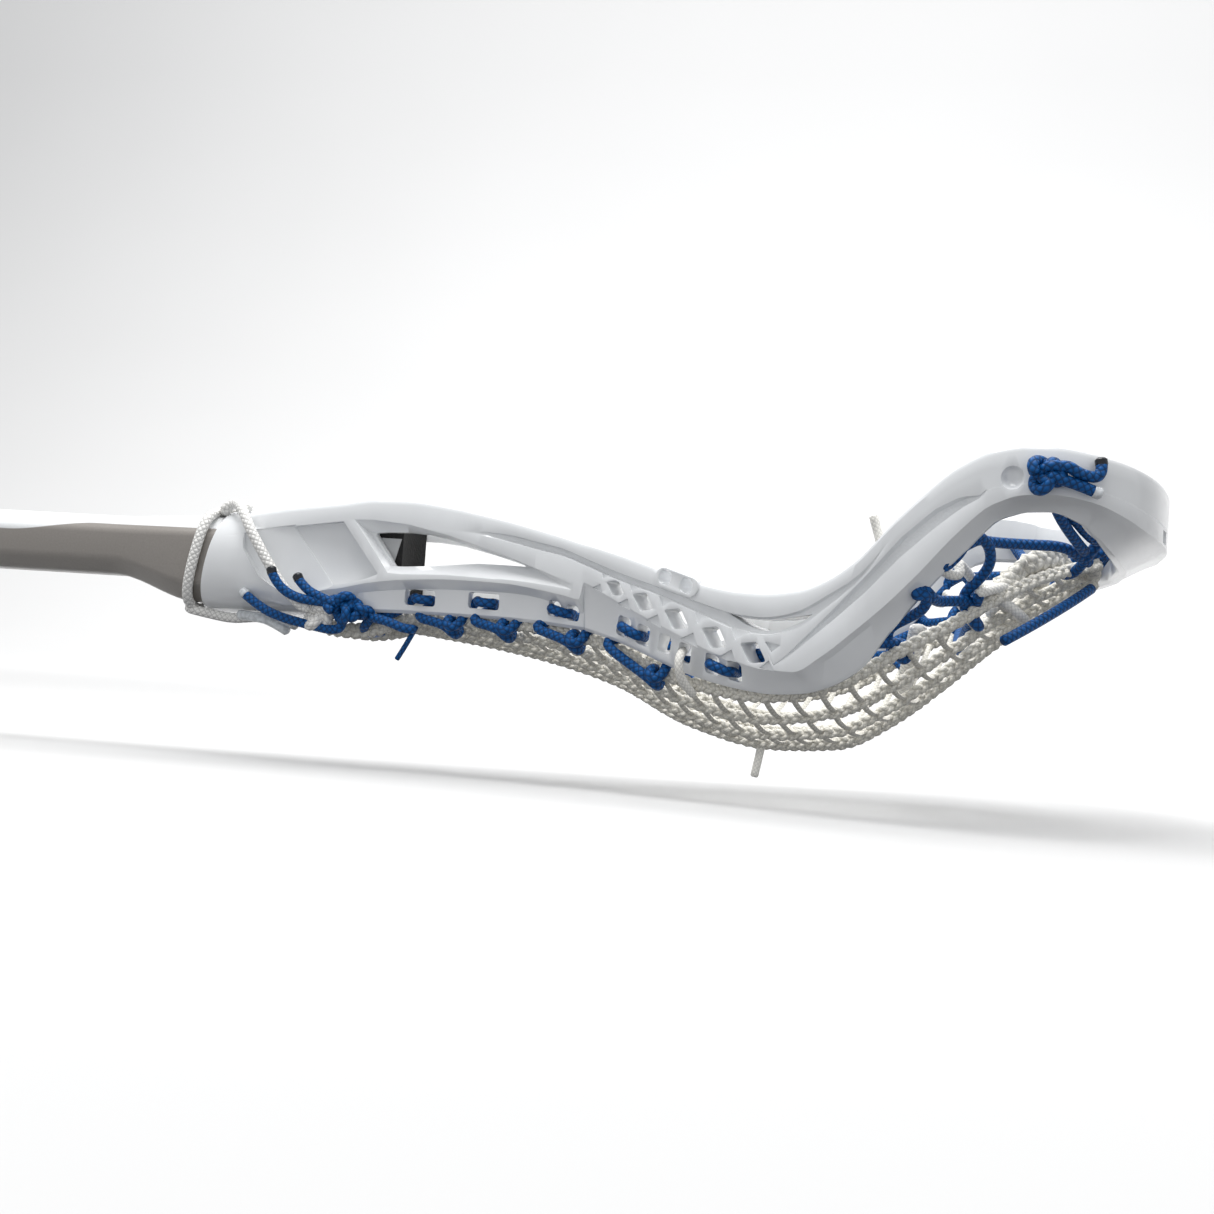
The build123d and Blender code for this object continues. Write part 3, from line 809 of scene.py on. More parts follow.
def tube(bm, path, radius, sides, flat=1.0, shift=0.0):
    """A tube of rings along a path, with its map: millimetres along, once round."""
    layer = bm.loops.layers.uv.get("UVMap") or bm.loops.layers.uv.new("UVMap")
    path = [p for i, p in enumerate(path) if i == 0 or (p - path[i - 1]).length > 1e-6]
    run = (path[1] - path[0]).normalized()
    side = run.orthogonal().normalized()
    if flat != 1.0:
        side = run.cross(Vector((0, 0, 1))).normalized()
    rings = []
    travelled = [0.0]
    for number, point in enumerate(path):
        ahead = path[min(number + 1, len(path) - 1)] - path[max(number - 1, 0)]
        ahead.normalize()
        side = (side - ahead * side.dot(ahead)).normalized()
        up = ahead.cross(side)
        rings.append((point, side.copy(), up))
        if number:
            travelled.append(travelled[-1] + (point - path[number - 1]).length)
    stations = [(ring, distance, 1.0) for ring, distance in zip(rings, travelled)]
    # Rounded ends
    bulge = radius * 0.35
    point, side, up = rings[0]
    back = (path[0] - path[1]).normalized()
    stations.insert(0, ((point + back * bulge, side, up), -bulge, 0.62))
    point, side, up = rings[-1]
    forth = (path[-1] - path[-2]).normalized()
    stations.append(((point + forth * bulge, side, up), travelled[-1] + bulge, 0.62))
    loops = []
    for (point, side, up), distance, scale in stations:
        ring = []
        for number in range(sides):
            angle = 2 * pi * number / sides
            offset = side * cos(angle) * radius * scale + up * sin(angle) * radius * scale * flat
            ring.append(bm.verts.new(point + offset))
        loops.append((ring, distance))
    for (low, low_at), (high, high_at) in zip(loops, loops[1:]):
        for number in range(sides):
            after = (number + 1) % sides
            face = bm.faces.new((low[number], low[after], high[after], high[number]))
            shares = (number / sides, (number + 1) / sides, (number + 1) / sides, number / sides)
            places = (low_at, low_at, high_at, high_at)
            for loop, along, share in zip(face.loops, places, shares):
                loop[layer].uv = (along / MM + shift, share)
    bm.faces.new(loops[0][0][::-1])
    bm.faces.new(loops[-1][0])


def cord_piece(name, routes, radius, finish, sides=12, replaces=None, flat=1.0):
    """One or more runs of the same cord as a piece."""
    bm = bmesh.new()
    for route in routes:
        points = [place(*point) for point in route]
        tube(bm, spline_points(points), radius * MM, sides=sides, flat=flat)
    return fit(add_piece(name, bm, finish, smooth_angle=60), replaces)


def knot_route(centre, size, turn):
    """A closed-looking overhand knot: the trefoil's path, opened where its ends leave."""
    points = []
    rotate = Matrix.Rotation(radians(turn), 3, "Y") @ Matrix.Rotation(radians(90), 3, "X")
    count = 22
    for number in range(count):
        t = 2 * pi * (number + 0.5) / count * 0.96
        raw = Vector((sin(t) + 2 * sin(2 * t), cos(t) - 2 * cos(2 * t), -1.15 * sin(3 * t)))
        turned = rotate @ raw
        points.append((centre[0] + turned.x * size, centre[1] + turned.y * size, centre[2] + turned.z * size))
    return points


def mirrored(route):
    """The same route on the far side."""
    return [(x, -y, z) for x, y, z in route]


# ---------------------------------------------------------------- the pocket's net


def pocket_row(along):
    """The pocket's smooth row at a distance along the head."""
    number = next((n for n, row in enumerate(POCKET[1:-1]) if along <= row[0]), len(POCKET) - 2)
    low, high = POCKET[number][0], POCKET[number + 1][0]
    return curve_through(POCKET, number + (along - low) / (high - low))


def pocket_point(along, share, lift=0.0):
    """A point on the pocket's cloth: share runs from -1 at the near edge to 1 at the far one."""
    row = pocket_row(along)
    half, edge, bottom = row[1], row[2], row[3]
    return Vector((along, share * half, bottom + (edge - bottom) * share * share + 1.2 + lift))


def plait(bm, centre, radius, seed):
    """Three yarns plaited along a centre line."""
    pitch = 8.0 * MM
    travelled = 0.0
    lines = [[] for _ in range(3)]
    side = (centre[1] - centre[0]).cross(Vector((0, 0, 1))).normalized()
    for number, point in enumerate(centre):
        ahead = (centre[min(number + 1, len(centre) - 1)] - centre[max(number - 1, 0)]).normalized()
        side = (side - ahead * side.dot(ahead)).normalized()
        up = ahead.cross(side)
        if number:
            travelled += (point - centre[number - 1]).length
        for yarn, line in enumerate(lines):
            angle = 2 * pi * (yarn / 3 + travelled / pitch) + seed
            line.append(point + (side * sin(2 * angle) * 0.4 + up * cos(angle) * 0.62) * radius)
    for yarn, line in enumerate(lines):
        tube(bm, line, radius * 0.5, sides=7, shift=yarn * 2.3 + seed)


def make_net(sizes):
    """The knitted net: plaited bands along the pocket, tied by short slanting strands."""
    bm = bmesh.new()
    radius = sizes.band * 0.5
    count = int((NET_END - NET_START) / (sizes.cell / MM) * 2)
    for index in range(sizes.bands):
        base = -1 + 2 * index / (sizes.bands - 1)
        rim = abs(base) == 1
        points = []
        for number in range(count + 1):
            along = NET_START + (NET_END - NET_START) * number / count
            sway = 0.0 if rim else (0.09 if number % 2 else -0.09) / sizes.bands
            points.append(place(*pocket_point(along, base + sway)))
        plait(bm, spline_points(points, steps=4), radius * (1.1 if rim else 1.0), index * 1.7)
    gap = 2 / (sizes.bands - 1)
    for index in range(sizes.bands - 1):
        near = -1 + index * gap
        for number in range(count // 2):
            along = NET_START + 2.0 + (NET_END - NET_START - 6.0) * (number + 0.5 * (index % 2)) / (count // 2)
            lean = sizes.cell / MM * 0.55
            steps = [(0.0, 0.4), (0.35, -0.2), (0.65, -0.2), (1.0, 0.4)]
            points = [place(*pocket_point(along + lean * s, near + gap * s, lift)) for s, lift in steps]
            tube(bm, points, radius * 0.62, sides=6, flat=0.7, shift=number)
    for along, lift, thick in ((51.0, 0.0, 1.2), (246.5, 0.6, 1.7)):
        end = [place(*pocket_point(along, -1 + i / 6, lift)) for i in range(13)]
        plait(bm, spline_points(end, steps=5), radius * thick, 5)
    for side in (-1, 1):
        roll = [(221.0, -47.0, -2.0), (227.0, -44.0, 4.6), (233.0, -40.0, 8.0), (239.0, -34.0, 8.6),
            (245.0, -25.0, 7.0)]
        rolled = [place(x, -side * y, z) for x, y, z in roll + [(247.4, -14.0, 5.6), (248.0, -4.0, 5.0)]]
        plait(bm, spline_points(rolled, steps=5), radius * 1.9, 2)
        bundle = [(36.0, -8.0, -20.6), (42.0, -9.0, -21.4), (48.0, -9.6, -20.8), (54.0, -11.0, -19.4)]
        plait(bm, spline_points([place(x, -side * y, z) for x, y, z in bundle]), radius * 1.5, 4)
    # Painted shade between the yarn's lumps and a painted highlight on their crowns, as on the cords
    finish = braided_cord("knitted_nylon_mesh", sizes.colour, 3, 1.5, 0.15, gloss=0.65, dark=0.78, light=1.05)
    obj = fit(add_piece("mesh_net", bm, finish, smooth_angle=70), replaces="mesh_pocket")


# ---------------------------------------------------------------- strings


BLUE_RADIUS = 1.35
LACE_RADIUS = 1.5
# The near side string's order: through a pair of slots, or a hitch on the net from one place to another
SIDE_STEPS = [(0, 1), (63.0, 75.6), (2, 3), (80.0, 91.8), (4, 5), (98.0, 112.7), (6, 7), (118.5, 136.4),
    (10, 11)]
# The same string above the pocket's deepest part, from hitches inside the wall down to the net's edge
SIDE_CLIMB = [
    (161.0, -44.4, -23.4), (163.0, -45.8, -20.2), (165.6, -47.2, -22.6), (172.0, -50.4, -26.4),
    (180.0, -55.0, -22.6),
    (188.0, -60.0, -17.0), (191.5, -57.5, -16.9), (196.0, -53.5, -16.4), (199.8, -50.8, -16.2),
    (201.4, -48.4, -17.6),
    (200.2, -47.6, -20.6), (198.0, -50.0, -18.8), (195.4, -52.8, -15.4), (196.0, -55.0, -12.4),
    (201.0, -59.0, -9.8),
    (204.4, -63.0, -7.6), (204.4, -66.0, -4.4), (201.6, -66.6, -5.4), (202.4, -64.8, -2.4),
    (205.2, -64.6, -4.4),
    (206.4, -60.0, -5.8), (210.6, -55.0, -5.2), (216.0, -50.4, -4.6), (218.0, -48.4, -5.8),
    (215.6, -47.6, -7.6),
    (218.4, -47.6, -11.4), (216.0, -49.6, -9.6), (213.4, -50.4, -5.6), (213.8, -51.6, -2.4),
    (217.2, -54.0, 0.8),
    (219.4, -57.4, 4.4), (218.6, -61.0, 8.4), (215.4, -65.0, 10.6), (211.6, -66.8, 8.4), (209.0, -66.8, 4.6),
    (207.6, -66.0, 1.8), (209.6, -65.0, 3.4), (212.2, -66.4, 6.6), (214.6, -67.4, 11.8),
]


def side_string_route():
    """Near side string: out and back through the slots, hitched round the net's edge between them."""
    route = [(52.0, -13.0, -17.0), (57.5, -13.4, -15.6)]
    for first, second in SIDE_STEPS:
        if isinstance(first, int):
            a, b = SLOTS[first], SLOTS[second]
            row = straight_at(WALL, (a[0] + b[0]) / 2)
            face = row[1] - (row[8] + (row[11] - row[8]) * 0.35)
            inside = row[1] - row[2] - 1.6
            route += [
                (a[0] - 0.8, -inside, a[1] + 0.4),
                (a[0] + 0.1, -face + 1.4, a[1]),
                (a[0] + 0.9, -face - 0.5, a[1] - 0.3),
                (b[0] - 0.9, -face - 0.5, b[1] - 0.3),
                (b[0] - 0.1, -face + 1.4, b[1]),
                (b[0] + 0.8, -inside, b[1] - 0.6),
            ]
            continue
        start, half = pocket_row(first), pocket_row(second)[1]
        edge = pocket_row(second)[2] - 0.4
        bottom = straight_at(WALL, first)[10]
        out = straight_at(WALL, second)[10]
        route += [
            (first, -start[1] - 3.4, bottom - 0.8),
            (second - 3.0, -half - 3.0, edge + 0.5),
            (second - 0.6, -half - 2.6, edge - 1.5),
            (second + 0.6, -half, edge - 2.6),
            (second + 0.8, -half + 2.4, edge - 0.8),
            (second, -half + 1.6, edge + 1.9),
            (second - 1.2, -half - 1.8, edge + 2.4),
            (second - 1.8, -half - 4.0, edge + 0.6),
            (second - 0.2, -half - 4.4, edge - 0.7),
            (second + 2.0, -half - 3.2, edge + 0.8),
            (second + 3.0, -half - 1.0, max(out + 1.0, edge + 1.6)),
        ]
    return route + SIDE_CLIMB


def across(along, rise, reach=-5.0):
    """A cord over the pocket's inside, from wall to wall, bowed towards the throat."""
    bow, count = -3.0, 9
    row = pocket_row(along)
    points = []
    for number in range(count):
        share = -1 + 2 * number / (count - 1)
        height = row[3] + (row[2] - row[3]) * share * share
        points.append((along + bow * (1 - share * share), share * (row[1] + reach), height + 2.6 + rise))
    return points


def make_side_strings():
    """The near and far side strings, and the thin end of the near one."""
    near = side_string_route()
    for name, route in (("sidewall_string_near", near), ("sidewall_string_far", mirrored(near))):
        cord_piece(name + "_lacing", [route], BLUE_RADIUS, blue_cord(), replaces=name)
    thin = [(64.0, -15.4, -19.0), (62.0, -15.6, -23.4), (59.2, -15.8, -28.4)]
    cord_piece("side_string_tail", [thin], 0.75, blue_cord())


def make_scoop_strings():
    """The top string, lashed through the scoop and knotted outside it, and the blue shooting string."""
    near = [
        knot_route((229.0, -82.8, 23.2), 1.3, 20),
        knot_route((230.6, -82.4, 23.6), 0.85, 65),
        [(230.6, -82.0, 23.4), (231.0, -76.0, 23.2), (231.5, -70.0, 21.0), (235.0, -61.0, 14.5),
            (242.0, -50.0, 9.0)],
        [(230.5, -83.4, 24.6), (233.4, -84.6, 25.6), (236.4, -83.6, 23.6), (240.2, -82.2, 23.0),
         (241.6, -81.6, 24.4), (241.5, -81.0, 26.4)],
        [(230.0, -84.0, 22.8), (233.8, -84.0, 22.0), (240.2, -82.2, 19.9)],
    ]
    lacing = [(231.5, -70.0, 21.6)]
    for across_at in SCOOP_SLOTS:
        outside = 264.6 - (abs(across_at) / 80.0) ** 2 * 18.5
        edge = 246.0 - (abs(across_at) / 60.0) ** 2 * 10.0
        lacing += [
            (outside - 14.2, across_at - 2.4, 10.4),
            (outside - 11.6, across_at - 1.4, SCOOP_SLOT_Z),
            (outside - 8.0, across_at, SCOOP_SLOT_Z),
            (outside - 11.6, across_at + 1.4, SCOOP_SLOT_Z),
            (outside - 14.4, across_at + 1.8, 9.4),
            (edge + 1.0, across_at * 0.8 + 1.6, 4.2),
            (edge - 3.0, across_at * 0.8 + 2.4, 4.4),
            (edge - 1.0, across_at * 0.8 + 3.4, 8.4),
        ]
    lacing.append((231.5, 70.0, 21.6))
    routes = near + [lacing] + [mirrored(route) for route in near]
    cord_piece("top_string_lacing", routes, BLUE_RADIUS, blue_cord(), replaces="top_string")
    straight = [(212.0, -66.6, 7.0), (215.6, -64.6, 9.6), (218.0, -59.0, 9.4), (227.0, -53.0, 9.8)]
    straight += [(236.4, -49.0, 10.3), (240.0, -46.0, 9.0), (244.0, -41.0, 7.2)]
    loops = [straight, mirrored(straight), across(217.0, 1.6, reach=3.0)]
    cord_piece("blue_shooting_string", loops, BLUE_RADIUS, blue_cord(), replaces="blue_shooter")


def make_throat_strings():
    """The string that ties the net behind the ball stop, with its knot and three tails."""
    routes = [
        knot_route((42.4, -18.4, -14.8), 1.35, -15),
        knot_route((46.6, -17.4, -15.6), 0.85, 40),
        [(22.4, -21.4, -6.4), (24.0, -21.4, -9.4), (28.0, -20.6, -12.4), (33.0, -19.6, -13.6),
            (40.0, -19.0, -13.8)],
        [(29.4, -18.8, -7.6), (32.0, -19.4, -10.4), (36.0, -19.6, -12.2), (41.0, -19.2, -14.0)],
        [(12.6, -15.6, -12.8), (18.0, -16.2, -16.6), (25.0, -16.2, -19.0), (34.0, -16.6, -20.6),
         (40.0, -17.0, -21.6), (43.4, -17.6, -20.4), (42.6, -18.0, -17.0)],
        [(47.0, -17.0, -15.4), (50.0, -15.6, -14.6), (50.6, -15.0, -17.0), (47.0, -12.0, -20.6),
         (46.0, 0.0, -21.6), (47.0, 12.0, -20.0), (49.0, 15.0, -16.0)],
        [(50.0, -15.0, -17.0), (54.0, -16.4, -17.6), (58.0, -17.6, -18.6), (61.0, -17.8, -19.8),
            (64.0, -17.0, -19.8)],
    ]
    cord_piece("bottom_string_lacing", routes, BLUE_RADIUS, blue_cord(), replaces="bottom_string")
    pale = [[(12.8, -15.6, -12.9), (11.6, -15.5, -12.0)], [(240.0, -82.2, 20.0), (241.4, -82.0, 19.5)]]
    dark = [[(22.5, -21.4, -6.6), (22.0, -21.3, -5.2)], [(29.7, -18.8, -8.0), (28.9, -18.7, -6.6)]]
    dark.append([(241.5, -81.0, 26.2), (241.3, -80.9, 27.4)])
    for name, routes, colour in (("sealed_tips", pale, "#E4E8EC"), ("scorched_tips", dark, "#0A1420")):
        finish = melted_tip(name[:-1] + "_nylon", colour)
        cord_piece(name, routes, BLUE_RADIUS + 0.12, finish)


def make_loose_end():
    """The top string's long loose end."""
    route = [(246.0, -30.0, 1.5), (236.5, -44.5, -6.0), (223.5, -56.0, -14.2)]
    obj = cord_piece("top_string_loose_end", [route], BLUE_RADIUS, blue_cord(), replaces="top_string_tail")
    run = [tuple(point) for point in spline_points([place(*point) for point in route])]


def make_white_cords():
    """The shooting cords, the thin nylon string and the nylon ends that stick out."""
    for name, along, rise, radius, node_name in (
        ("shooting_cord_low", 203.0, 2.2, 2.2, "shooting_cord_lower"),
        ("shooting_cord_high", 231.0, 2.4, 2.4, "shooting_cord_upper"),
    ):
        cord_piece(name, [across(along, rise)], radius, white_cord(), replaces=node_name, flat=0.6)
    zigzag = []
    for number in range(15):
        share = -1 + 2 * number / 14
        row = pocket_row(224.0 + (8.0 if number % 2 else -7.0))
        zigzag.append((row[0], share * (row[1] + 3.0), row[3] + (row[2] - row[3]) * share * share + 5.0))
    climb = [(205.0, -66.0, 3.4), (208.6, -63.0, 0.6), (212.4, -60.0, 0.8), (211.4, -58.0, 4.4),
        (214.0, -54.0, 2.0)]
    climb += [(218.6, -49.0, -2.6), (217.2, -48.4, -0.2), (222.0, -47.6, -3.0), (228.6, -45.0, -7.6),
        (230.0, -41.0, -9.0)]
    routes = [zigzag, climb, mirrored(climb)]
    cord_piece("nylon_string", routes, 1.25, hollow_cord(), replaces="nylon_shooter")
    drop = [(143.6, -41.0, -21.4), (143.4, -45.6, -22.2), (143.2, -46.8, -25.4), (144.2, -45.0, -29.6),
        (147.0, -42.0, -32.4)]
    tail = [(163.0, -10.0, -44.6), (162.4, -11.0, -49.0), (161.6, -11.4, -53.6)]
    ends = [(195.6, -60.0, 0.0), (193.8, -62.0, 4.0), (192.2, -62.5, 9.0), (190.6, -62.8, 13.8)]
    cord_piece("white_string_ends", [drop, tail, ends], 1.15, hollow_cord())


def make_collar_lace():
    """The lace wound round the shaft behind the collar and knotted on the near side."""
    flat = SOCKET_HALF + LACE_RADIUS + 0.2
    corner = 8.6
    ring = [
        (-corner, -flat), (corner, -flat), (flat, -corner), (flat, corner), (corner, flat), (-corner, flat),
        (-flat, corner), (-flat, -corner),
    ]
    lace = [(26.0, -8.5, -20.6), (20.0, -8.5, -18.9), (13.0, -8.0, -18.9), (6.5, -7.5, -19.8),
        (1.0, -7.0, -19.2)]
    order = [0, 1, 2, 3, 4, 5, 6, 7, 0, 1, 2, 3, 4, 5]
    for step, index in enumerate(order):
        y, z = ring[index]
        lace.append((-2.9 - 3.4 * (1 - step / (len(order) - 1)) + 0.21 * z, y, z + SOCKET_Z))
    lace += [(5.0, -9.0, 14.2), (9.5, -15.2, 12.0), (13.5, -18.4, 6.0), (19.5, -18.6, -3.0),
        (26.0, -18.6, -11.8), (31.5, -17.6, -16.0)]
    lump = [(1.6, 4.0, 12.8), (3.0, -2.0, 14.0), (5.6, -6.0, 14.0), (8.2, -7.4, 12.6)]
    routes = [lace, knot_route((34.6, -16.4, -17.0), 1.35, 30), knot_route((36.0, -16.0, -17.6), 0.9, 75), lump]
    cord_piece("collar_lace", routes, LACE_RADIUS, white_cord(), replaces="throat_lace")
    tip = [(9.0, -9.5, -18.6), (16.1, -12.0, -19.0), (20.5, -13.4, -20.0), (25.4, -14.0, -22.4)]
    cord_piece("lace_tip", [tip], LACE_RADIUS, melted_tip("sealed_lace_nylon", "#DDE2E6"))


# ---------------------------------------------------------------- shaft, small pieces and stage

# The sky from straight down to straight up: dark below, brightest round the horizon
SKY = [(0.0, "#55565A"), (0.28, "#8C8E92"), (0.44, "#FFFFFF"), (0.6, "#E4E6E8"), (0.9, "#FFFFFF")]
CAMERA_PLACE = (199.6, -479.0, -30.2)
CAMERA_RIGHT = (0.9831, 0.1696, 0.0685)
CAMERA_UP = (-0.0601, -0.0538, 0.9967)
CAMERA_FORWARD = (-0.1727, 0.984, 0.0427)
CAMERA_LENS = 50.41


def make_shaft(sizes):
    """Octagonal shaft with softened edges."""
    bm = bmesh.new()
    stations = [(SHAFT_START, 0.0, GRIP_HALF_WIDTH, GRIP_HALF_HEIGHT, GRIP_BEVEL)]
    taper = (HEAD_X - 33.0, HEAD_X - 6.0)
    for number in range(13):
        share = number / 12
        ease = share * share * (3 - 2 * share)
        half = [grip + (SOCKET_HALF - grip) * ease for grip in (GRIP_HALF_WIDTH, GRIP_HALF_HEIGHT)]
        stations.append((taper[0] + (taper[1] - taper[0]) * share, SOCKET_Z * ease, *half, GRIP_BEVEL + ease))
    stations.append((SHAFT_END, SOCKET_Z, SOCKET_HALF, SOCKET_HALF, SOCKET_BEVEL))
    sweep_rings(bm, [octagon_ring(*station) for station in stations])
    long_edges = [e for e in bm.edges if abs((e.verts[0].co - e.verts[1].co).normalized().x) > 0.7]
    bmesh.ops.bevel(
        bm, geom=long_edges, offset=sizes.edge_round, segments=3, profile=0.5, affect="EDGES", material=-1
    )
    fit(add_piece("shaft_tube", bm, coated_shaft(sizes.side, sizes.top), smooth_angle=40), replaces="shaft")


def give_finish(name, finish):
    """Gives a CAD piece its finish."""
    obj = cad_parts[name]
    obj.data.materials.clear()
    obj.data.materials.append(finish)


def add_light(name, location, target, energy, size):
    """A white rectangular lamp aimed at a point."""
    data = bpy.data.lights.new(name, "AREA")
    data.energy = energy
    data.shape = "RECTANGLE"
    data.size, data.size_y = size
    obj = bpy.data.objects.new(name, data)
    obj.location = location
    obj.rotation_euler = (target - location).to_track_quat("-Z", "Y").to_euler()
    bpy.context.scene.collection.objects.link(obj)


def make_stage(stage):
    """Pale floor that rises behind into a backdrop, soft lights and the camera."""
    bm = bmesh.new()
    profile = [(-4.0, 0.0), (2.2, 0.0)]
    profile += [(2.2 + 1.6 * sin(a * pi / 24), 1.6 * (1 - cos(a * pi / 24))) for a in range(1, 13)]
    profile.append((3.8, 5.0))
    verts = [bm.verts.new((x, profile[0][0], stage.floor)) for x in (-6.0, 8.0)]
    edges = [bm.edges.new(verts)]
    for y, z in profile[1:]:
        made = bmesh.ops.extrude_edge_only(bm, edges=edges)["geom"]
        edges = [item for item in made if isinstance(item, bmesh.types.BMEdge)]
        edges = [e for e in edges if all(v in made for v in e.verts) and abs(e.verts[0].co.x - e.verts[1].co.x) > 1]
        for vert in edges[0].verts:
            vert.co.y, vert.co.z = y, z + stage.floor
    made, tree, shader = material("pale_floor")
    paint(tree, shader, texture(tree, 2.0), [(0.3, shade(stage.colour, 0.985)),
        (0.7, shade(stage.colour, 1.0))])
    shader.inputs["Roughness"].default_value = 0.95
    floor = add_piece("floor", bm, made, smooth_angle=80)
    # The floor is seen but throws little light up, so the undersides stay in shade
    floor.visible_diffuse = False
    world = bpy.data.worlds.new("studio")
    world.use_nodes = True
    tree = world.node_tree
    heading = node(tree, "ShaderNodeTexCoord").outputs["Generated"]
    rise = node(tree, "ShaderNodeSeparateXYZ", {0: heading}).outputs[2]
    height = maths(tree, "MULTIPLY_ADD", rise, 0.5, 0.5)
    tree.links.new(ramp(tree, height, SKY), tree.nodes["Background"].inputs[0])
    tree.nodes["Background"].inputs[1].default_value = stage.sky
    bpy.context.scene.world = world
    head = place(150, 0, 0)
    add_light("key", place(20, -200, 780), head, stage.key, (0.5, 0.35))
    add_light("top", place(170, 260, 700), head, stage.key * 1.1, (1.0, 0.6))
    add_light("backdrop", place(150, 1500, 1900), place(150, 3400, 300), stage.key * 20, (4.0, 1.5))
    camera_data = bpy.data.cameras.new("camera")
    camera_data.sensor_width = 36.0
    camera_data.lens = CAMERA_LENS
    camera_data.clip_start = 0.01
    camera = bpy.data.objects.new("camera", camera_data)
    rotation = Matrix((CAMERA_RIGHT, CAMERA_UP, -Vector(CAMERA_FORWARD))).transposed()
    camera.matrix_world = Matrix.Translation(place(*CAMERA_PLACE)) @ rotation.to_4x4()
    bpy.context.scene.collection.objects.link(camera)
    bpy.context.scene.camera = camera
    bpy.context.scene.view_settings.view_transform = "Standard"


# ---------------------------------------------------------------- the add-on


def hue(name, description, default):
    """A colour property whose default is an sRGB hex value."""
    return FloatVectorProperty(
        name=name, description=description, default=linear(default)[:3], min=0.0, max=1.0, subtype="COLOR"
    )


def length(name, description, default, low=0.0):
    """A length property in metres."""
    return FloatProperty(
        name=name, description=description, default=default, min=low, unit="LENGTH", subtype="DISTANCE"
    )


class LacrosseHead(bpy.types.PropertyGroup):
    """Sizes and colour of the moulded head."""

    colour: hue("Nylon", "Colour of the moulded nylon", "#E9EBED")
    edge_round: length("Edge rounding", "How far the head's sharp edges are rounded", 0.00035)


class LacrosseNet(bpy.types.PropertyGroup):
    """Sizes and colour of the pocket's net."""

    colour: hue("Mesh", "Colour of the knitted mesh", "#E6E3DA")
    band: length("Band width", "Width of a plaited band of the net", 0.0030)
    cell: length("Cell length", "Distance from one opening of the net to the next", 0.0072)
    bands: IntProperty(name="Bands", description="How many bands run along the pocket", default=9, min=5, max=14)


class LacrosseStrings(bpy.types.PropertyGroup):
    """Colours of the strings."""

    blue: hue("Blue string", "Colour of the braided side and top strings", "#0B4C88")
    white: hue("White lace", "Colour of the shooting cords and the collar's lace", "#F5F4F1")
    hollow: hue("Hollow cord", "Colour of the thin nylon cord", "#F2F0EA")


class LacrosseShaft(bpy.types.PropertyGroup):
    """Sizes and colours of the shaft."""

    side: hue("Side", "Colour of the shaft's sides and underside", "#8E8984")
    top: hue("Top", "Colour of the stripe along the top", "#ECEEEF")
    edge_round: length("Edge rounding", "How far the shaft's long edges are rounded", 0.0011)


class LacrosseStage(bpy.types.PropertyGroup):
    """The floor and the light."""

    colour: hue("Floor", "Colour of the floor and the backdrop", "#D4D4D4")
    floor: length("Floor height", "Height of the floor", -0.0605, low=-1.0)
    key: FloatProperty(name="Key light", description="Power of the key light", default=4.2, min=0.0, unit="POWER")
    sky: FloatProperty(name="Sky", description="Strength of the sky's light", default=0.8, min=0.0)


class LACROSSE_OT_stage(bpy.types.Operator):
    """Add the floor, the lights and the camera"""

    bl_idname = "lacrosse.add_stage"
    bl_label = "Add stage"

    def execute(self, context):
        make_stage(context.scene.lacrosse_stage)
        return {"FINISHED"}


class LACROSSE_OT_loose_end(bpy.types.Operator):
    """Add the top string's long loose end"""

    bl_idname = "lacrosse.add_loose_end"
    bl_label = "Add loose end"

    def execute(self, context):
        make_loose_end()
        return {"FINISHED"}


class LACROSSE_OT_side_strings(bpy.types.Operator):
    """Add the side strings with their hitches"""

    bl_idname = "lacrosse.add_side_strings"
    bl_label = "Add side strings"

    def execute(self, context):
        make_side_strings()
        return {"FINISHED"}


class LACROSSE_OT_scoop_strings(bpy.types.Operator):
    """Add the top string and the blue shooting string"""

    bl_idname = "lacrosse.add_scoop_strings"
    bl_label = "Add scoop strings"

    def execute(self, context):
        make_scoop_strings()
        return {"FINISHED"}


class LACROSSE_OT_throat_strings(bpy.types.Operator):
    """Add the bottom string with its knot and sealed tips"""

    bl_idname = "lacrosse.add_throat_strings"
    bl_label = "Add throat strings"

    def execute(self, context):
        make_throat_strings()
        return {"FINISHED"}


class LACROSSE_OT_white_cords(bpy.types.Operator):
    """Add the shooting cords, the thin nylon string and the collar's lace"""

    bl_idname = "lacrosse.add_white_cords"
    bl_label = "Add white cords"

    def execute(self, context):
        make_white_cords()
        make_collar_lace()
        return {"FINISHED"}


class LACROSSE_OT_net(bpy.types.Operator):
    """Add the pocket's knitted net"""

    bl_idname = "lacrosse.add_net"
    bl_label = "Add net"

    def execute(self, context):
        make_net(context.scene.lacrosse_net)
        return {"FINISHED"}


class LACROSSE_OT_head(bpy.types.Operator):
    """Add the moulded head"""

    bl_idname = "lacrosse.add_head"
    bl_label = "Add head"

    def execute(self, context):
        make_head(context.scene.lacrosse_head)
        make_side_shade_sheets(context.scene.lacrosse_head)
        return {"FINISHED"}


class LACROSSE_OT_shaft(bpy.types.Operator):
    """Add the shaft"""

    bl_idname = "lacrosse.add_shaft"
    bl_label = "Add shaft"

    def execute(self, context):
        make_shaft(context.scene.lacrosse_shaft)
        return {"FINISHED"}


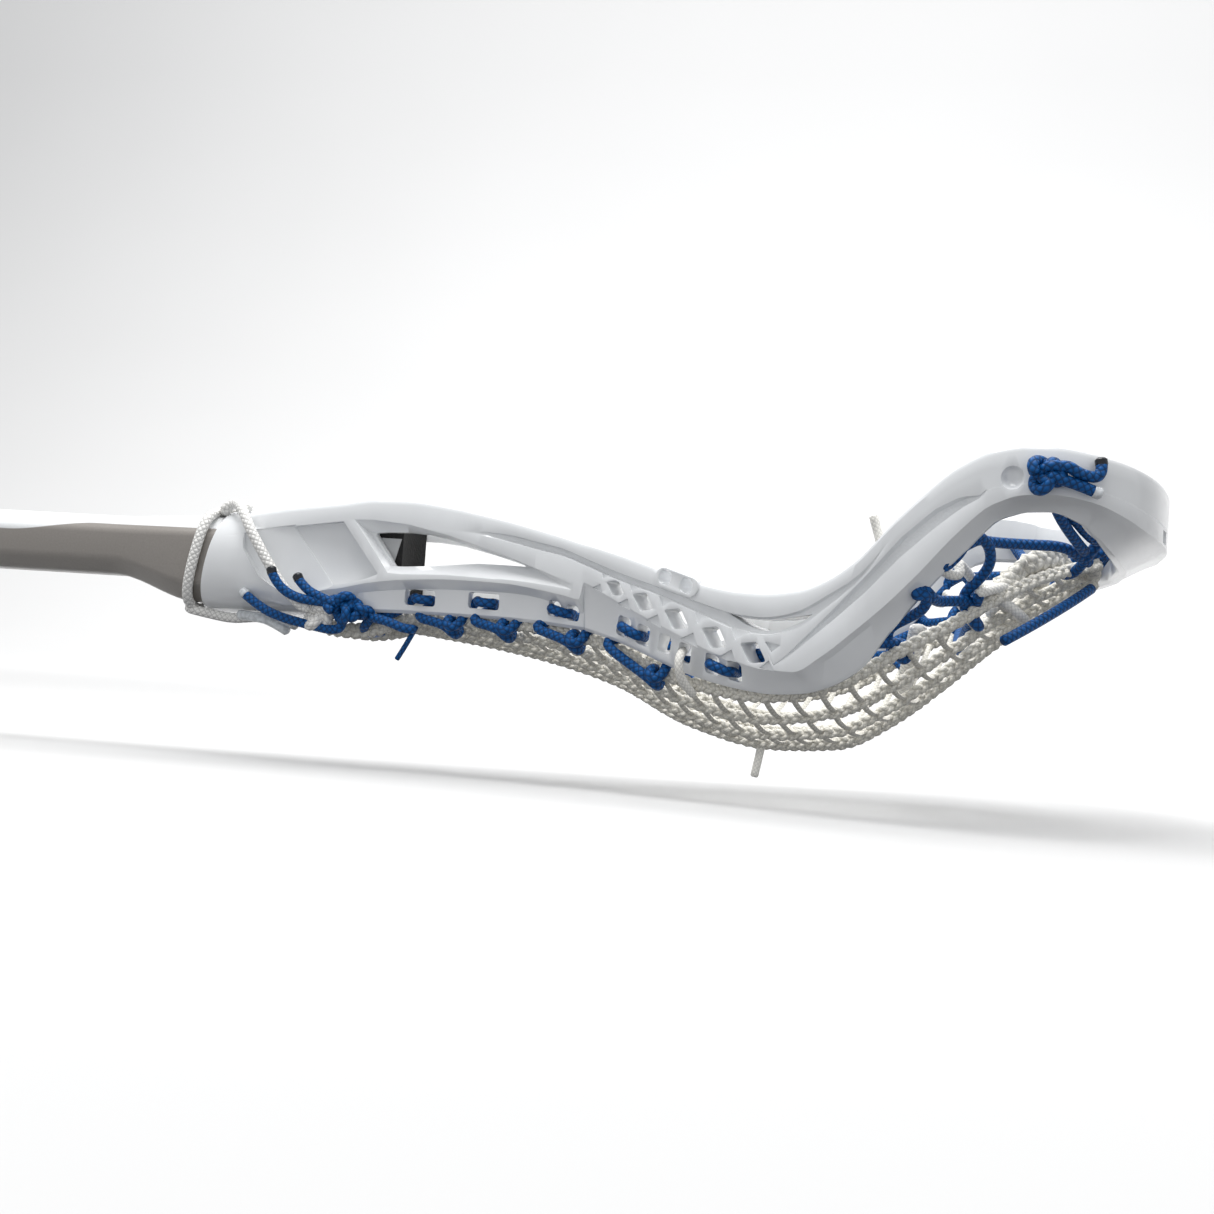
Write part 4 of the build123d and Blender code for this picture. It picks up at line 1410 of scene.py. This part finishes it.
class LACROSSE_OT_finishes(bpy.types.Operator):
    """Give the ball stop, the butt cap and the screw their finishes"""

    bl_idname = "lacrosse.add_finishes"
    bl_label = "Finish CAD pieces"

    def execute(self, context):
        give_finish("ball_stop", cell_foam("closed_cell_foam", "#050505", "#161616"))
        give_finish("butt_cap", cell_foam("moulded_rubber", "#0A0A0A", "#1C1C1C"))
        give_finish("head_screw", zinc_steel())
        return {"FINISHED"}


GROUPS = {
    "lacrosse_head": LacrosseHead,
    "lacrosse_net": LacrosseNet,
    "lacrosse_strings": LacrosseStrings,
    "lacrosse_shaft": LacrosseShaft,
    "lacrosse_stage": LacrosseStage,
}
OPERATORS = (
    LACROSSE_OT_stage,
    LACROSSE_OT_loose_end,
    LACROSSE_OT_side_strings,
    LACROSSE_OT_scoop_strings,
    LACROSSE_OT_throat_strings,
    LACROSSE_OT_white_cords,
    LACROSSE_OT_net,
    LACROSSE_OT_head,
    LACROSSE_OT_shaft,
    LACROSSE_OT_finishes,
)


class LACROSSE_PT_panel(bpy.types.Panel):
    """Lists the pieces and their sizes"""

    bl_idname = "LACROSSE_PT_panel"
    bl_label = "Lacrosse Stick"
    bl_space_type = "VIEW_3D"
    bl_region_type = "UI"
    bl_category = "Lacrosse Stick"

    def draw(self, context):
        for name, group in GROUPS.items():
            box = self.layout.box()
            for prop in group.__annotations__:
                box.prop(getattr(context.scene, name), prop)
        for operator in OPERATORS:
            self.layout.operator(operator.bl_idname)


def register():
    """Registers the classes and hangs the settings on the scene."""
    for cls in (*GROUPS.values(), *OPERATORS, LACROSSE_PT_panel):
        bpy.utils.register_class(cls)
    for name, group in GROUPS.items():
        setattr(bpy.types.Scene, name, PointerProperty(type=group))


def unregister():
    """Takes the settings and the classes away again."""
    for name in GROUPS:
        delattr(bpy.types.Scene, name)
    for cls in reversed((*GROUPS.values(), *OPERATORS, LACROSSE_PT_panel)):
        bpy.utils.unregister_class(cls)


def main():
    """Builds every piece in order."""
    register()
    for operator in OPERATORS:
        group, action = operator.bl_idname.split(".")
        getattr(getattr(bpy.ops, group), action)()


if __name__ == "__main__":
    main()
